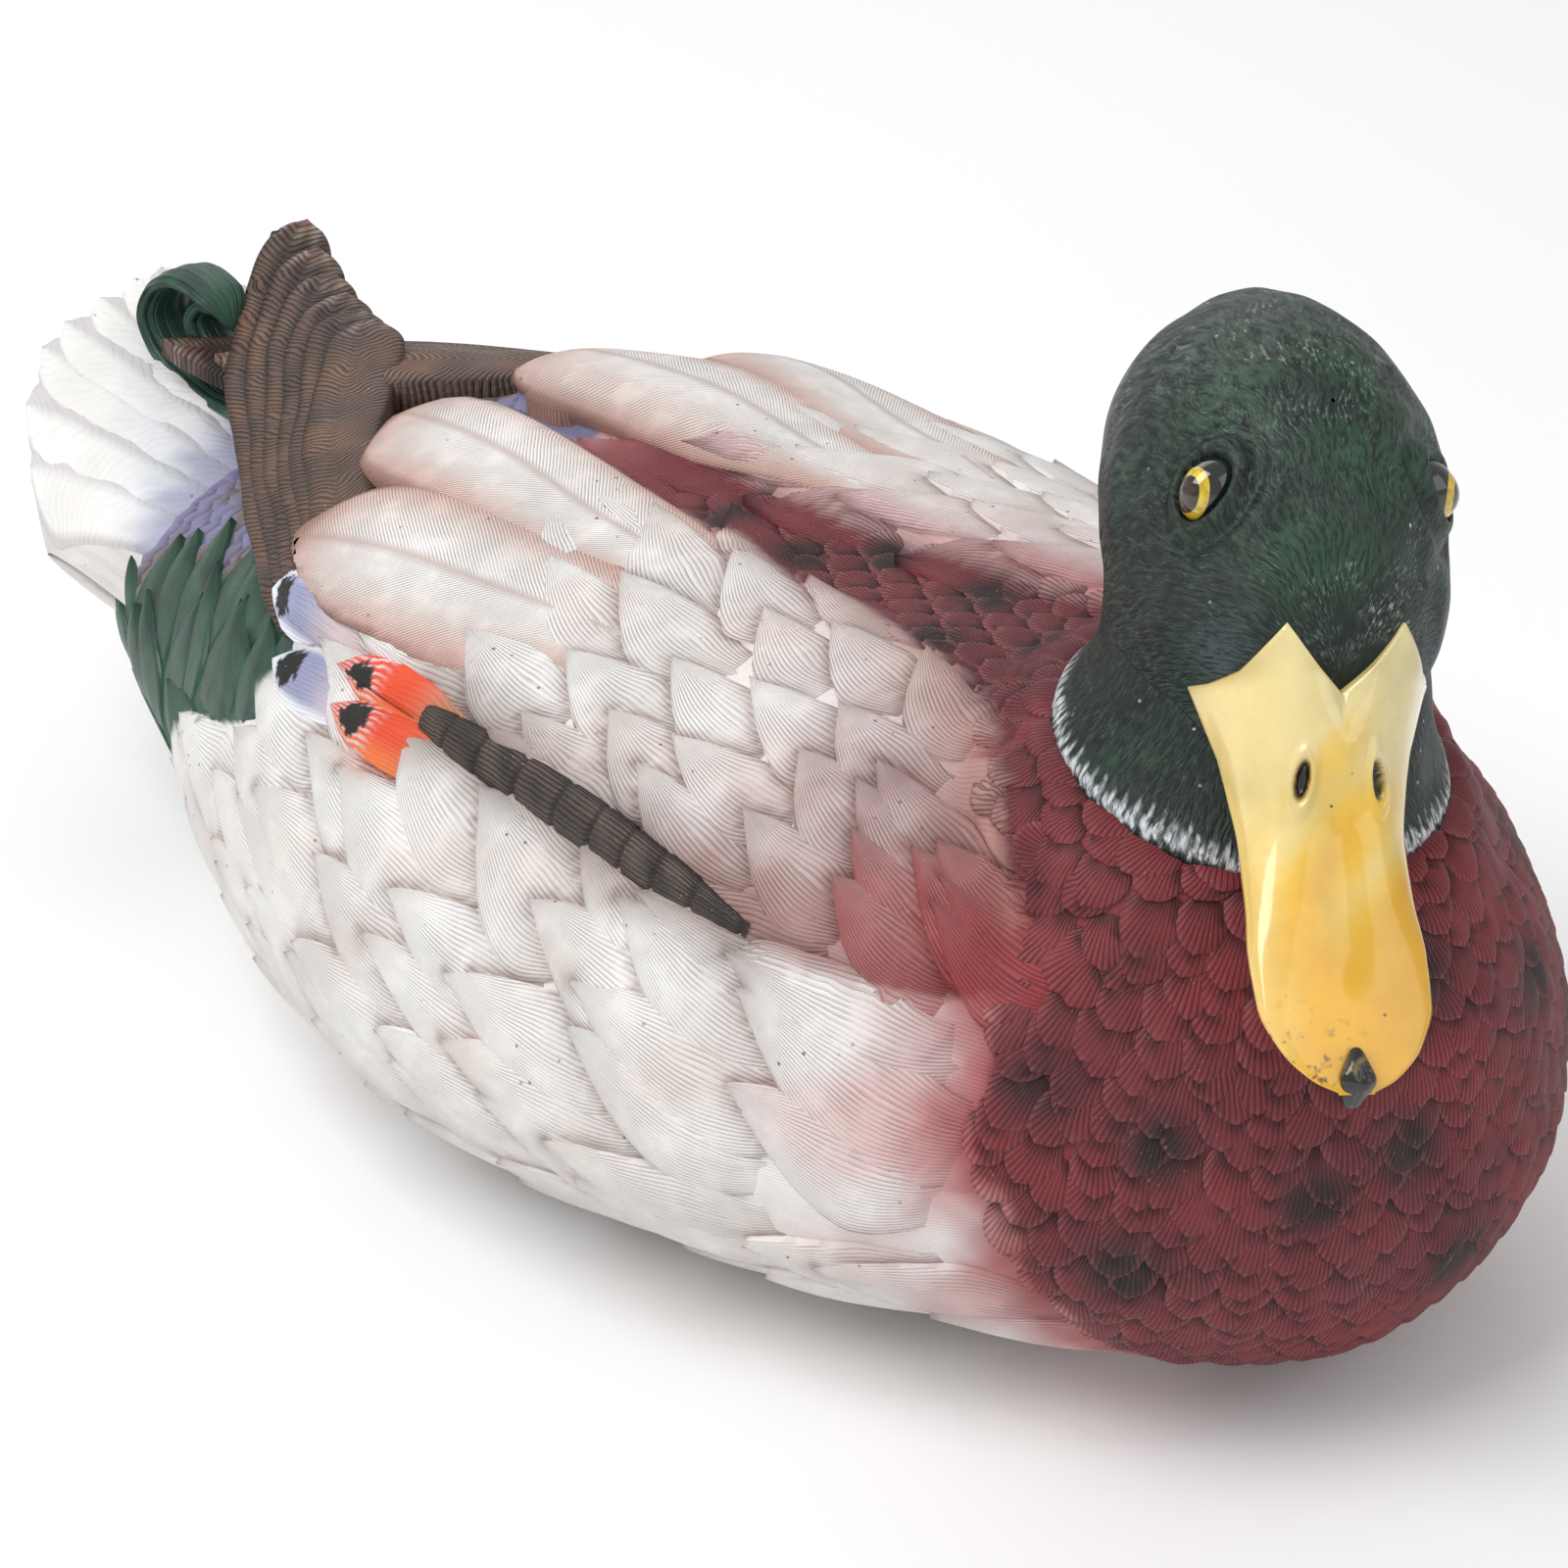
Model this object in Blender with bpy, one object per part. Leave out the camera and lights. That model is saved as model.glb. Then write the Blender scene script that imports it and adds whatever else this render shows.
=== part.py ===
"""Floating duck decoy, a drake: hollow painted shell, hull, wings, tail and a head that turns on its neck.

Frame: +Z up, the duck faces -Y, its right flank is at -X, and the origin is on the floor under the middle
of the body's length. Every size below is in millimetres, and MM turns it into metres when a mesh is made.
"""

import math

import bmesh
import bpy
import numpy as np
from mathutils import Matrix, Vector

MM = 0.001
GAP = 0.35  # clearance between two pieces that touch

# Driving dimensions of the body: stations from breast to rump.
LENGTH = 368.0
NOSE_Y = -LENGTH / 2
TAIL_Y = LENGTH / 2
STATION_Y = [NOSE_Y, -182, -178, -168, -150, -125, -95, -60, -20, 20, 55, 85, 110, 130, 142, 149, 152]
HALF_WIDTH = [0, 15, 27, 42, 59, 74, 85.5, 93, 97, 92.5, 80, 66, 55, 45, 34, 18, 0]
TOP_Z = [58, 76, 88, 99, 106, 110, 111, 109, 107, 107.5, 104.5, 98, 86, 76, 69, 63, 58]
BOTTOM_Z = [58, 40, 28, 16, 8, 3.5, 1, -1.5, -2, -2, 0, 8, 22, 36, 46, 52, 58]
WIDEST_Z = [58, 57, 56, 56, 57, 56, 54, 51, 49, 49, 48, 48, 51, 54, 56, 57, 58]
BOXINESS = [0.97, 0.97, 0.97, 0.97, 0.96, 0.94, 0.92, 0.9, 0.89, 0.9, 0.95, 1.02, 1.08, 1.1, 1.1, 1.1, 1.1]
SHOULDER = [1.25, 1.25, 1.25, 1.25, 1.22, 1.15, 1.05, 0.96, 0.92, 0.92, 0.95, 1.02, 1.08, 1.1, 1.1, 1.1, 1.1]
LAST_STATION = len(STATION_Y) - 1
SHELL_WALL = 4.0

# Neck seat: the plane that the head turns on.
NECK_CENTRE = Vector((0.0, -130.3, 111.5))
NECK_TILT = math.radians(14.0)
NECK_RADIUS = 33.8
NECK_BLEND = 15.0
HEAD_TURN = math.radians(-31.0)

# Hull joint: the shell's rim, the gasket and the hull's flange.
RIM_Z = 12.0
GASKET_THICK = 1.4
FLANGE_Z = RIM_Z - GASKET_THICK - 2 * GAP
FLOOR_Z = 5.0
POCKET_SIZE = (60.0, 92.0, 24.0)
POCKET_Y = -14.0
HULL_SCREWS = [(20, -125), (48, -45), (26, 62)]
BALLAST_SCREW_Y = (-42.0, 14.0)
DRAIN_XY = (0.0, 48.0)
TETHER_Y = -95.0
TETHER_Z = 4.2

# Bill: stations along its length from the gape, in a plane pitched down from the neck seat.
BILL_PITCH = math.radians(38.0)
BILL_S = [-5, 4, 13, 22, 31, 40, 48, 55, 60, 62]
BILL_HALF_WIDTH = [18, 16.6, 15, 13.9, 14.1, 15, 14.7, 11.8, 7, 3]
BILL_EDGE_H = [26, 26.3, 26.7, 27.4, 29, 31.2, 33, 34.3, 35, 35.3]
BILL_TOP_H = [45.5, 42.2, 39.3, 37.3, 36.3, 35.8, 35.7, 35.8, 36, 36.1]

EYE_RADIUS = 6.2
EYE_CENTRE = (15.9, 4.2, 48.6)

# Right wing on the back: where its inner and outer edges lie, as angles from the midline.
WING_Y = [-116, -100, -80, -50, -20, 10, 40, 60, 72, 78]
WING_INNER = [-41, -33, -17, -9, -7, -6, -6, -6, -8, -11]
WING_OUTER = [-44, -54, -58, -55, -52, -51, -50, -39, -25, -16]
WING_THICK = [1.6, 2.2, 2.8, 3.4, 4.0, 4.5, 5.5, 6.5, 5.5, 3.5]
WING_LIFT = [2.4, 2.4, 2.0, 1.4, 1.3, 1.3, 1.3, 1.3, 1.3, 1.3]

# Folded primaries: the two long edges of each stack, top face, from its root to its tip.
RIGHT_LEAD = [
    (-75, 30, 90), (-67, 48, 91), (-51, 76, 92.5), (-31, 107, 93),
    (-11, 135, 96.5), (7, 149, 105), (18, 154, 111),
]
RIGHT_TRAIL = [
    (-71, 42, 91), (-58, 60, 95), (-38, 78, 101), (-12, 92, 107),
    (8, 112, 111), (18, 134, 113.5), (23, 152, 112.5),
]
LEFT_LEAD = [
    (75, 30, 90), (67, 48, 91), (51, 76, 92), (32, 105, 91),
    (14, 130, 87.5), (0, 146, 88), (-12, 157, 94),
]
LEFT_TRAIL = [
    (71, 42, 91), (58, 60, 95), (38, 78, 99), (15, 92, 99),
    (1, 106, 95.5), (-8, 126, 90), (-15, 150, 94),
]
PRIMARY_THICK = [2.4, 3.4, 5.0, 6.0, 6.0, 5.0, 3.0]

# Tail fan: a curved plate behind the rump.
FAN_HALF_WIDTH = 50.0
FAN_THICK = 4.0

# Tail curls: centre lines in a plane across the tail, as (y, z).
BIG_CURL = [
    (143, 81.6), (151, 83.4), (158.5, 87), (163.5, 92),
    (164, 98.5), (159, 104.5), (151, 107.5), (145, 105.5),
    (143, 100),
]
SMALL_CURL = [
    (145, 82.4), (153, 84.6), (158.5, 89), (158.5, 95.5),
    (153.5, 99), (148.5, 97),
]


# ---------------------------------------------------------------------------------------------- helpers


def clear_scene():
    for obj in list(bpy.data.objects):
        bpy.data.objects.remove(obj, do_unlink=True)


def empty(name, location=(0, 0, 0), rotation=(0, 0, 0), parent=None):
    pivot = bpy.data.objects.new(name, None)
    bpy.context.scene.collection.objects.link(pivot)
    pivot.location = Vector(location) * MM
    pivot.rotation_euler = rotation
    pivot.parent = parent
    return pivot


def material(name, colour, roughness=0.6, metallic=0.0, coat=0.0):
    made = bpy.data.materials.get(name)
    if made:
        return made
    made = bpy.data.materials.new(name)
    made.use_nodes = True
    shader = made.node_tree.nodes["Principled BSDF"]
    shader.inputs["Base Color"].default_value = (*colour, 1.0)
    shader.inputs["Roughness"].default_value = roughness
    shader.inputs["Metallic"].default_value = metallic
    shader.inputs["Coat Weight"].default_value = coat
    return made


def add(name, bm, look=None, parent=None, location=(0, 0, 0), rotation=(0, 0, 0), smooth=True):
    """One object from a bmesh in millimetres."""
    bmesh.ops.recalc_face_normals(bm, faces=bm.faces)
    bmesh.ops.scale(bm, vec=(MM, MM, MM), verts=bm.verts)
    mesh = bpy.data.meshes.new(name)
    bm.to_mesh(mesh)
    bm.free()
    obj = bpy.data.objects.new(name, mesh)
    bpy.context.scene.collection.objects.link(obj)
    obj.location = Vector(location) * MM
    obj.rotation_euler = rotation
    obj.parent = parent
    if smooth:
        mesh.shade_smooth()
        mesh.set_sharp_from_angle(angle=math.radians(40))
    if look:
        mesh.materials.append(look)
    return obj


def cutter(obj):
    obj.hide_render = True
    obj.display_type = "WIRE"
    return obj


def boolean(obj, other, operation="DIFFERENCE"):
    step = obj.modifiers.new(f"{operation.title()} {other.name}", "BOOLEAN")
    step.operation = operation
    step.solver = "EXACT"
    step.object = cutter(other)


def skin(rings, closed_ends=True):
    """A bmesh through rings of points, each ring a closed loop of the same length."""
    bm = bmesh.new()
    loops = [[bm.verts.new(point) for point in ring] for ring in rings]
    count = len(loops[0])
    for near, far in zip(loops, loops[1:]):
        for i in range(count):
            j = (i + 1) % count
            bm.faces.new((near[i], near[j], far[j], far[i]))
    if closed_ends:
        bm.faces.new(loops[0])
        bm.faces.new(loops[-1])
    bmesh.ops.remove_doubles(bm, verts=bm.verts, dist=1e-4)
    return bm


def box(size, centre):
    bm = bmesh.new()
    bmesh.ops.create_cube(bm, size=1.0)
    bmesh.ops.scale(bm, vec=size, verts=bm.verts)
    bmesh.ops.translate(bm, vec=centre, verts=bm.verts)
    return bm


def rounded_box(size, centre, radius, segments=2):
    bm = box(size, centre)
    bmesh.ops.bevel(bm, geom=bm.edges[:], offset=radius, segments=segments, profile=0.5, affect="EDGES")
    return bm


def rod(radius, low, high, x=0.0, y=0.0, segments=24):
    """A cylinder along Z between two heights."""
    bm = bmesh.new()
    bmesh.ops.create_cone(
        bm, cap_ends=True, segments=segments, radius1=radius, radius2=radius, depth=high - low
    )
    bmesh.ops.translate(bm, vec=(x, y, (high + low) / 2), verts=bm.verts)
    return bm


def turned(profile, segments=32):
    """A closed profile of (radius, height) points spun about Z."""
    bm = bmesh.new()
    loop = [bm.verts.new((r, 0, z)) for r, z in profile]
    pairs = zip(loop, loop[1:] + loop[:1])
    edges = [bm.edges.new((a, b)) for a, b in pairs if a.co.x > 0 or b.co.x > 0]
    bmesh.ops.spin(
        bm, geom=loop + edges, cent=(0, 0, 0), axis=(0, 0, 1), angle=2 * math.pi, steps=segments
    )
    bmesh.ops.remove_doubles(bm, verts=bm.verts, dist=1e-3)
    return bm


def smooth_step(low, high, value):
    t = np.clip((value - low) / (high - low), 0.0, 1.0)
    return t * t * (3 - 2 * t)


def through(values, x, knots=None):
    """A smooth curve through values at knots that never overshoots them."""
    ys = np.asarray(values, float)
    xs = np.arange(len(ys), dtype=float) if knots is None else np.asarray(knots, float)
    x = np.clip(np.asarray(x, float), xs[0], xs[-1])
    slope = np.diff(ys) / np.diff(xs)
    tangent = np.empty(len(ys))
    before, after = slope[:-1], slope[1:]
    same_way = before * after > 0
    mean = np.where(same_way, before + after, 1.0)
    tangent[1:-1] = np.where(same_way, 2 * before * after / mean, 0.0)
    tangent[0], tangent[-1] = slope[0], slope[-1]
    i = np.clip(np.searchsorted(xs, x, side="right") - 1, 0, len(xs) - 2)
    step = xs[i + 1] - xs[i]
    t = (x - xs[i]) / step
    rise = (3 - 2 * t) * t * t
    return (
        ys[i] * (1 - rise)
        + ys[i + 1] * rise
        + step * t * (1 - t) * ((1 - t) * tangent[i] - t * tangent[i + 1])
    )


def signed_power(value, exponent):
    return np.sign(value) * np.abs(value) ** exponent


# ------------------------------------------------------------------------------------------------- body

NECK_AXIS = np.array([0.0, -math.sin(NECK_TILT), math.cos(NECK_TILT)])
NECK_BACK = np.array([0.0, math.cos(NECK_TILT), math.sin(NECK_TILT)])
ALL_Y = np.linspace(0, LAST_STATION, 1601)
ALL_Y_VALUE = through(STATION_Y, ALL_Y)


def station_at(y):
    return np.interp(y, ALL_Y_VALUE, ALL_Y)


def half_width_at(y, z):
    """Half the body's width at a height below its widest line."""
    station = station_at(y)
    middle = through(WIDEST_Z, station)
    power = through(BOXINESS, station)
    depth = (middle - z) / (middle - through(BOTTOM_Z, station))
    return through(HALF_WIDTH, station) * (1 - depth ** (2 / power)) ** (power / 2)


def body_points(station, angle, inset=0.0):
    """Points on the body: angle 0 is the back's midline, -90 degrees the right flank, 180 the keel."""
    station, angle = np.broadcast_arrays(np.asarray(station, float), np.asarray(angle, float))
    width = through(HALF_WIDTH, station) - inset
    top = through(TOP_Z, station) - inset
    bottom = through(BOTTOM_Z, station) + inset
    middle = through(WIDEST_Z, station)
    power = through(BOXINESS, station)
    cosine = np.abs(np.cos(angle))
    above = middle + (top - middle) * cosine ** through(SHOULDER, station)
    below = middle - (middle - bottom) * cosine**power
    x = width * signed_power(np.sin(angle), power)
    z = np.where(np.cos(angle) > 0, above, below)
    points = np.stack([x, through(STATION_Y, station), z], axis=-1)
    # The back runs into the flat neck seat.
    offset = points - np.array(NECK_CENTRE)
    height = offset @ NECK_AXIS + inset
    radius = np.hypot(offset[..., 0], offset @ NECK_BACK)
    pull = (1 - smooth_step(NECK_RADIUS, NECK_RADIUS + NECK_BLEND, radius)) * smooth_step(60, 85, z)
    pull = np.where(np.cos(angle) > 0, pull, 0.0)
    return points - NECK_AXIS * (height * pull)[..., None]


def body_loft(name, inset, first, last, rings, sides):
    stations = np.concatenate([
        np.linspace(first, first + 3, rings // 4, endpoint=False),
        np.linspace(first + 3, last - 3, rings // 2, endpoint=False),
        np.linspace(last - 3, last, rings // 4),
    ])
    angles = np.linspace(-math.pi, math.pi, sides, endpoint=False)
    loops = [body_points(s, angles, inset) for s in stations]
    return add(name, skin(loops))


def body_shell(look, root):
    shell = body_loft("body_shell", 0.0, 0.02, LAST_STATION - 0.02, 36, 44)
    shell.data.materials.append(look)
    shell.parent = root
    boolean(shell, body_loft("shell_cavity", SHELL_WALL, 1.6, LAST_STATION - 1.6, 16, 24))
    for x, y in both_sides(HULL_SCREWS):
        top = RIM_Z + 14
        foot = RIM_Z - 3
        boss = turned([(1.9, foot), (6, foot), (6, top), (0, top), (0, top - 4), (1.9, top - 4)], 16)
        boolean(shell, add("screw_boss", boss, location=(x, y, 0)), "UNION")
        start = x + math.copysign(3.5, x)
        reach = half_width_at(y, RIM_Z) - 1.5 - abs(start)
        web = box((reach, 3.6, 11.0), (start + math.copysign(reach / 2, x), y, RIM_Z + 6.7))
        boolean(shell, add("boss_web", web), "UNION")
    tilt = (NECK_TILT, 0, 0)
    boss = rod(16.5, -13.0, -SHELL_WALL / 2)
    boolean(shell, add("neck_boss", boss, location=NECK_CENTRE, rotation=tilt), "UNION")
    boolean(shell, add("below_rim", box((400, 500, 100), (0, 0, RIM_Z - 50))))
    bore = turned([(0, -20), (9.4, -20), (9.4, -3.3), (14.4, -3.3), (14.4, 6), (0, 6)], 30)
    boolean(shell, add("neck_bore", bore, location=NECK_CENTRE, rotation=tilt))
    return shell


def both_sides(points):
    return [(side * x, y) for x, y in points for side in (-1, 1)]


# ------------------------------------------------------------------------------------------------- hull


def hull_bottom(look, root):
    hull = body_loft("hull_bottom", 0.0, 0.02, LAST_STATION - 0.02, 36, 44)
    hull.data.materials.append(look)
    hull.parent = root
    boolean(hull, add("hull_slab", box((400, 500, FLANGE_Z), (0, 0, FLANGE_Z / 2))), "INTERSECT")
    pocket = rounded_box(POCKET_SIZE, (0, POCKET_Y, FLOOR_Z + POCKET_SIZE[2] / 2), 4)
    boolean(hull, add("hull_pocket", pocket))
    seat = turned([(0, -5), (10.0, -5), (10.0, 4.6), (6.5, 4.6), (6.5, 20), (0, 20)])
    boolean(hull, add("drain_seat", seat, location=(*DRAIN_XY, 0)))
    boolean(hull, add("tether_recess", box((30, 26, 16), (0, TETHER_Y + 8, 0.2))))
    pin_hole = rod(1.55, -19.5, 19.5, segments=12)
    boolean(hull, add("pin_hole", pin_hole, location=(0, TETHER_Y, TETHER_Z), rotation=(0, math.pi / 2, 0)))
    for x, y in both_sides(HULL_SCREWS):
        recess = turned([(0, -5), (4.3, -5), (4.3, 5.2), (1.95, 5.2), (1.95, 30), (0, 30)], 16)
        boolean(hull, add("screw_recess", recess, location=(x, y, 0)))
    for y in BALLAST_SCREW_Y:
        boolean(hull, add("ballast_hole", rod(1.9, 1.4, 20, 0, y, 12)))
    return hull


def hull_gasket(look, root):
    middle = RIM_Z - GAP - GASKET_THICK / 2
    gasket = body_loft("hull_gasket", 0.3, 0.1, LAST_STATION - 0.1, 40, 48)
    gasket.data.materials.append(look)
    gasket.parent = root
    boolean(gasket, add("gasket_slab", box((400, 500, GASKET_THICK), (0, 0, middle))), "INTERSECT")
    inner = body_loft("gasket_inner", 0.0, 0.1, LAST_STATION - 0.1, 40, 48)
    inner.scale = (0.72, 0.86, 1.0)
    inner.location.y = -4 * MM
    boolean(gasket, inner)
    for x, y in both_sides(HULL_SCREWS):
        boolean(gasket, add("gasket_hole", rod(2.1, 0, 30, x, y, 12)))
    return gasket


def screw(name, look, parent, x, y, head_z, length, shank=1.6, head=3.9, head_height=2.3):
    """A pan-head screw that points up, its head underneath at head_z."""
    top = head_z + head_height
    profile = [
        (0, head_z + 0.8), (head * 0.35, head_z + 0.8), (head * 0.35, head_z), (head * 0.8, head_z),
        (head, head_z + 0.7), (head, top), (shank, top), (shank, top + length - 1), (0, top + length),
    ]
    return add(name, turned(profile, 12), look, parent, location=(x, y, 0))


# ------------------------------------------------------------------------------------- ballast and drain


def ballast(look, steel, root):
    block = rounded_box((40, 82, 12), (0, POCKET_Y, FLOOR_Z + GAP + 6), 2.5)
    weight = add("ballast_weight", block, look, root)
    for y in BALLAST_SCREW_Y:
        boolean(weight, add("weight_hole", rod(2.2, 0, 40, 0, y, 16)))
    for i, y in enumerate(BALLAST_SCREW_Y):
        top = FLOOR_Z + 12 + 2 * GAP
        head = [(0, top + 2.2), (3.2, top + 2.2), (4.2, top + 1.4), (4.2, top)]
        profile = head + [(1.7, top), (1.7, 2.6), (0, 1.8)]
        add(f"ballast_screw_{i + 1}", turned(profile, 16), steel, root, location=(0, y, 0))


def drain(rubber, seal, root):
    pivot = empty("drain_pivot", (*DRAIN_XY, 0), parent=root)
    plug = [(0, 1.0), (6.0, 1.0), (6.0, 0.5), (9.0, 0.5), (9.6, 1.1), (9.6, 2.6)]
    plug += [(6.1, 2.6), (5.6, 12.0), (0, 12.0)]
    add("drain_plug", turned(plug, 28), rubber, pivot)
    around = np.linspace(0, 2 * math.pi, 8)[:-1]
    ring = [(8.1 + 0.75 * math.cos(a), 3.75 + 0.75 * math.sin(a)) for a in around]
    add("drain_o_ring", turned(ring, 20), seal, root, location=(*DRAIN_XY, 0))


def tether(steel, root):
    pivot = empty("tether_pivot", (0, TETHER_Y, TETHER_Z), parent=root)
    pin = rod(1.2, -19.0, 19.0, segments=16)
    add("tether_pin", pin, steel, root, location=(0, TETHER_Y, TETHER_Z), rotation=(0, math.pi / 2, 0))
    barrel = rod(3.1, -12.0, 12.0, segments=20)
    tab = add("tether_tab", barrel, steel, pivot, rotation=(0, math.pi / 2, 0))
    plate = add("tab_plate", rounded_box((2.6, 16, 20), (0.4, 8.5, 0), 0.6, 1))
    plate.parent = pivot
    plate.rotation_euler = (0, math.pi / 2, 0)
    boolean(tab, plate, "UNION")
    bore = add("tab_bore", rod(1.6, -20, 20, segments=16))
    bore.parent = pivot
    bore.rotation_euler = (0, math.pi / 2, 0)
    boolean(tab, bore)
    eye = add("tab_eye", rod(4.4, -12, 12, 0, 9.0, 20))
    eye.parent = pivot
    boolean(tab, eye)


def foam(look, root):
    add("foam_float_front", rounded_box((118, 84, 46), (0, -52, 56), 14, 3), look, root)
    add("foam_float_rear", rounded_box((96, 76, 42), (0, 44, 54), 14, 3), look, root)


# ------------------------------------------------------------------------------------- wings and feathers


def surface_normal(station, angle):
    step = 0.02
    along = body_points(station + step, angle) - body_points(station - step, angle)
    across = body_points(station, angle + step) - body_points(station, angle - step)
    normal = np.cross(across, along)
    return normal / np.linalg.norm(normal, axis=-1, keepdims=True)


def wing(name, side, look, root):
    """A raised shell on the back: side -1 is the right wing, 1 the left."""
    rings = []
    across = np.linspace(0.0, 1.0, 10)
    for y in np.concatenate([np.linspace(WING_Y[0], 50, 16), np.linspace(57, WING_Y[-1], 5)]):
        inner = math.radians(through(WING_INNER, y, WING_Y))
        outer = math.radians(through(WING_OUTER, y, WING_Y))
        thick = through(WING_THICK, y, WING_Y)
        angle = inner + (outer - inner) * across
        station = station_at(y)
        normal = surface_normal(station, angle)
        base = body_points(station, angle) + normal * through(WING_LIFT, y, WING_Y)
        crown = 1.4 + (thick - 1.4) * (1 - np.abs(2 * across - 1) ** 3)
        top = base + normal * crown[:, None]
        ring = np.concatenate([top, base[::-1]])
        ring[:, 0] *= -side
        rings.append(ring)
    return add(name, skin(rings), look, root)


def primaries(name, lead, trail, look, root):
    """Folded flight feathers: a stack that thins to its tip, lying over the rump."""
    rings = []
    turn = -2 * math.pi if lead[0][0] > 0 else 2 * math.pi
    angle = np.linspace(0, turn, 14, endpoint=False)[:, None]
    for s in np.linspace(0, len(lead) - 1, 19):
        first = np.array([through([point[i] for point in lead], s) for i in range(3)])
        last = np.array([through([point[i] for point in trail], s) for i in range(3)])
        thick = through(PRIMARY_THICK, s)
        middle = (first + last) / 2 - [0, 0, 0.2 * thick]
        rings.append(middle + (last - first) / 2 * np.cos(angle) + [0, 0, thick / 2] * np.sin(angle))
    return add(name, skin(rings), look, root)


def tail_fan(look, root):
    rings = []
    across = np.linspace(-1.0, 1.0, 19)
    reach = np.abs(across)
    root_line = np.stack([FAN_HALF_WIDTH * across, 138 - 12 * reach**2, 77.5 - 17.5 * reach**2.6], axis=-1)
    tip_y = TAIL_Y - 36 * reach**3.2
    tip_line = np.stack([FAN_HALF_WIDTH * across, tip_y, 89 - 27 * reach**2.2], axis=-1)
    down = np.stack([0.35 * np.sign(across) * reach**1.5, -0.15 + 0 * reach, -1 + 0.3 * reach], axis=-1)
    for share in (0.0, 0.2, 0.4, 0.6, 0.8, 0.92, 1.0):
        top = root_line + (tip_line - root_line) * share
        under = top + down * (FAN_THICK * (1 - 0.65 * share**2))
        rings.append(np.concatenate([top, under[::-1]]))
    return add("tail_fan", skin(rings), look, root)


def curl(name, path, x, width, look, root):
    """A feather curled forwards over the rump, swept along a curve."""
    rings = []
    ys = [point[0] for point in path]
    zs = [point[1] for point in path]
    for s in np.linspace(0, len(path) - 1, 20):
        before, after = max(s - 0.05, 0), min(s + 0.05, len(path) - 1)
        run = np.array([through(ys, after) - through(ys, before), through(zs, after) - through(zs, before)])
        run /= np.linalg.norm(run)
        outward = np.array([0, run[1], -run[0]])
        share = s / (len(path) - 1)
        half = width / 2 * (1 - 0.45 * share**2)
        thick = 1.5 * (1 - 0.5 * share)
        centre = np.array([x, through(ys, s), through(zs, s)])
        ring = []
        for a in np.linspace(0, 2 * math.pi, 10, endpoint=False):
            ring.append(centre + [half * math.cos(a), 0, 0] + outward * (thick * math.sin(a)))
        rings.append(np.array(ring))
    return add(name, skin(rings), look, root)


# ------------------------------------------------------------------------------------------------- head
# The neck seat's own frame: Z up the neck's axis, Y to the back of the head, X to its left.

HEAD_MIDDLE = np.array([0.0, 8.0, 24.0])


def ellipsoid(points, centre, radii, pitch=0.0):
    turn = math.radians(pitch)
    x, y, z = np.moveaxis(points - np.array(centre), -1, 0)
    forward = y * math.cos(turn) + z * math.sin(turn)
    up = z * math.cos(turn) - y * math.sin(turn)
    size = np.sqrt((x / radii[0]) ** 2 + (forward / radii[1]) ** 2 + (up / radii[2]) ** 2)
    return (size - 1) * min(radii)


def blend_min(a, b, width):
    mix = np.clip(0.5 + 0.5 * (b - a) / width, 0, 1)
    return b * (1 - mix) + a * mix - width * mix * (1 - mix)


def head_field(points):
    """Below zero inside the head and neck."""
    x, y, z = np.moveaxis(points, -1, 0)
    knots = [0, 6, 14, 26, 40]
    neck_radius = through([NECK_RADIUS, 30.5, 28, 26, 20], z, knots)
    neck_middle = through([0, 1, 3.5, 8, 12], z, knots)
    field = np.maximum(np.hypot(x, y - neck_middle) - neck_radius, z - 40)
    field = blend_min(field, ellipsoid(points, (0, 16.5, 38), (25.5, 35.5, 32), 9), 8)
    for side in (-1, 1):
        field = blend_min(field, ellipsoid(points, (side * 8.5, -1, 32), (15, 17, 15)), 6)
    return blend_min(field, ellipsoid(points, (0, -9, 34), (15.5, 15, 14), 20), 7)


def head_points(share, azimuth):
    """Points on the head: share 0 is the crown above the middle, 1 the rim of the neck."""
    share, azimuth = np.broadcast_arrays(np.asarray(share, float), np.asarray(azimuth, float))
    rim = np.stack([NECK_RADIUS * np.cos(azimuth), NECK_RADIUS * np.sin(azimuth), 0 * azimuth], axis=-1)
    rim = rim - HEAD_MIDDLE
    rim_far = np.linalg.norm(rim, axis=-1, keepdims=True)
    rim = rim / rim_far
    pole = np.array([0.0, 0.0, 1.0])
    opening = np.arccos(np.clip(rim @ pole, -1, 1))
    weight_pole = np.sin((1 - share) * opening) / np.sin(opening)
    weight_rim = np.sin(share * opening) / np.sin(opening)
    ray = weight_pole[..., None] * pole + weight_rim[..., None] * rim
    near = np.full(share.shape, 5.0)
    far = np.full(share.shape, 80.0)
    for _ in range(40):
        half = (near + far) / 2
        inside = head_field(HEAD_MIDDLE + ray * half[..., None]) < 0
        near = np.where(inside, half, near)
        far = np.where(inside, far, half)
    far = np.where(share > 0.999, rim_far[..., 0], far)
    return HEAD_MIDDLE + ray * far[..., None]


def bill_point(x, s, h):
    """A point of the bill from its place across, along and above the pitched bill plane."""
    cos, sin = math.cos(BILL_PITCH), math.sin(BILL_PITCH)
    return np.array([x, -cos * s - sin * h, -sin * s + cos * h])


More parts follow.
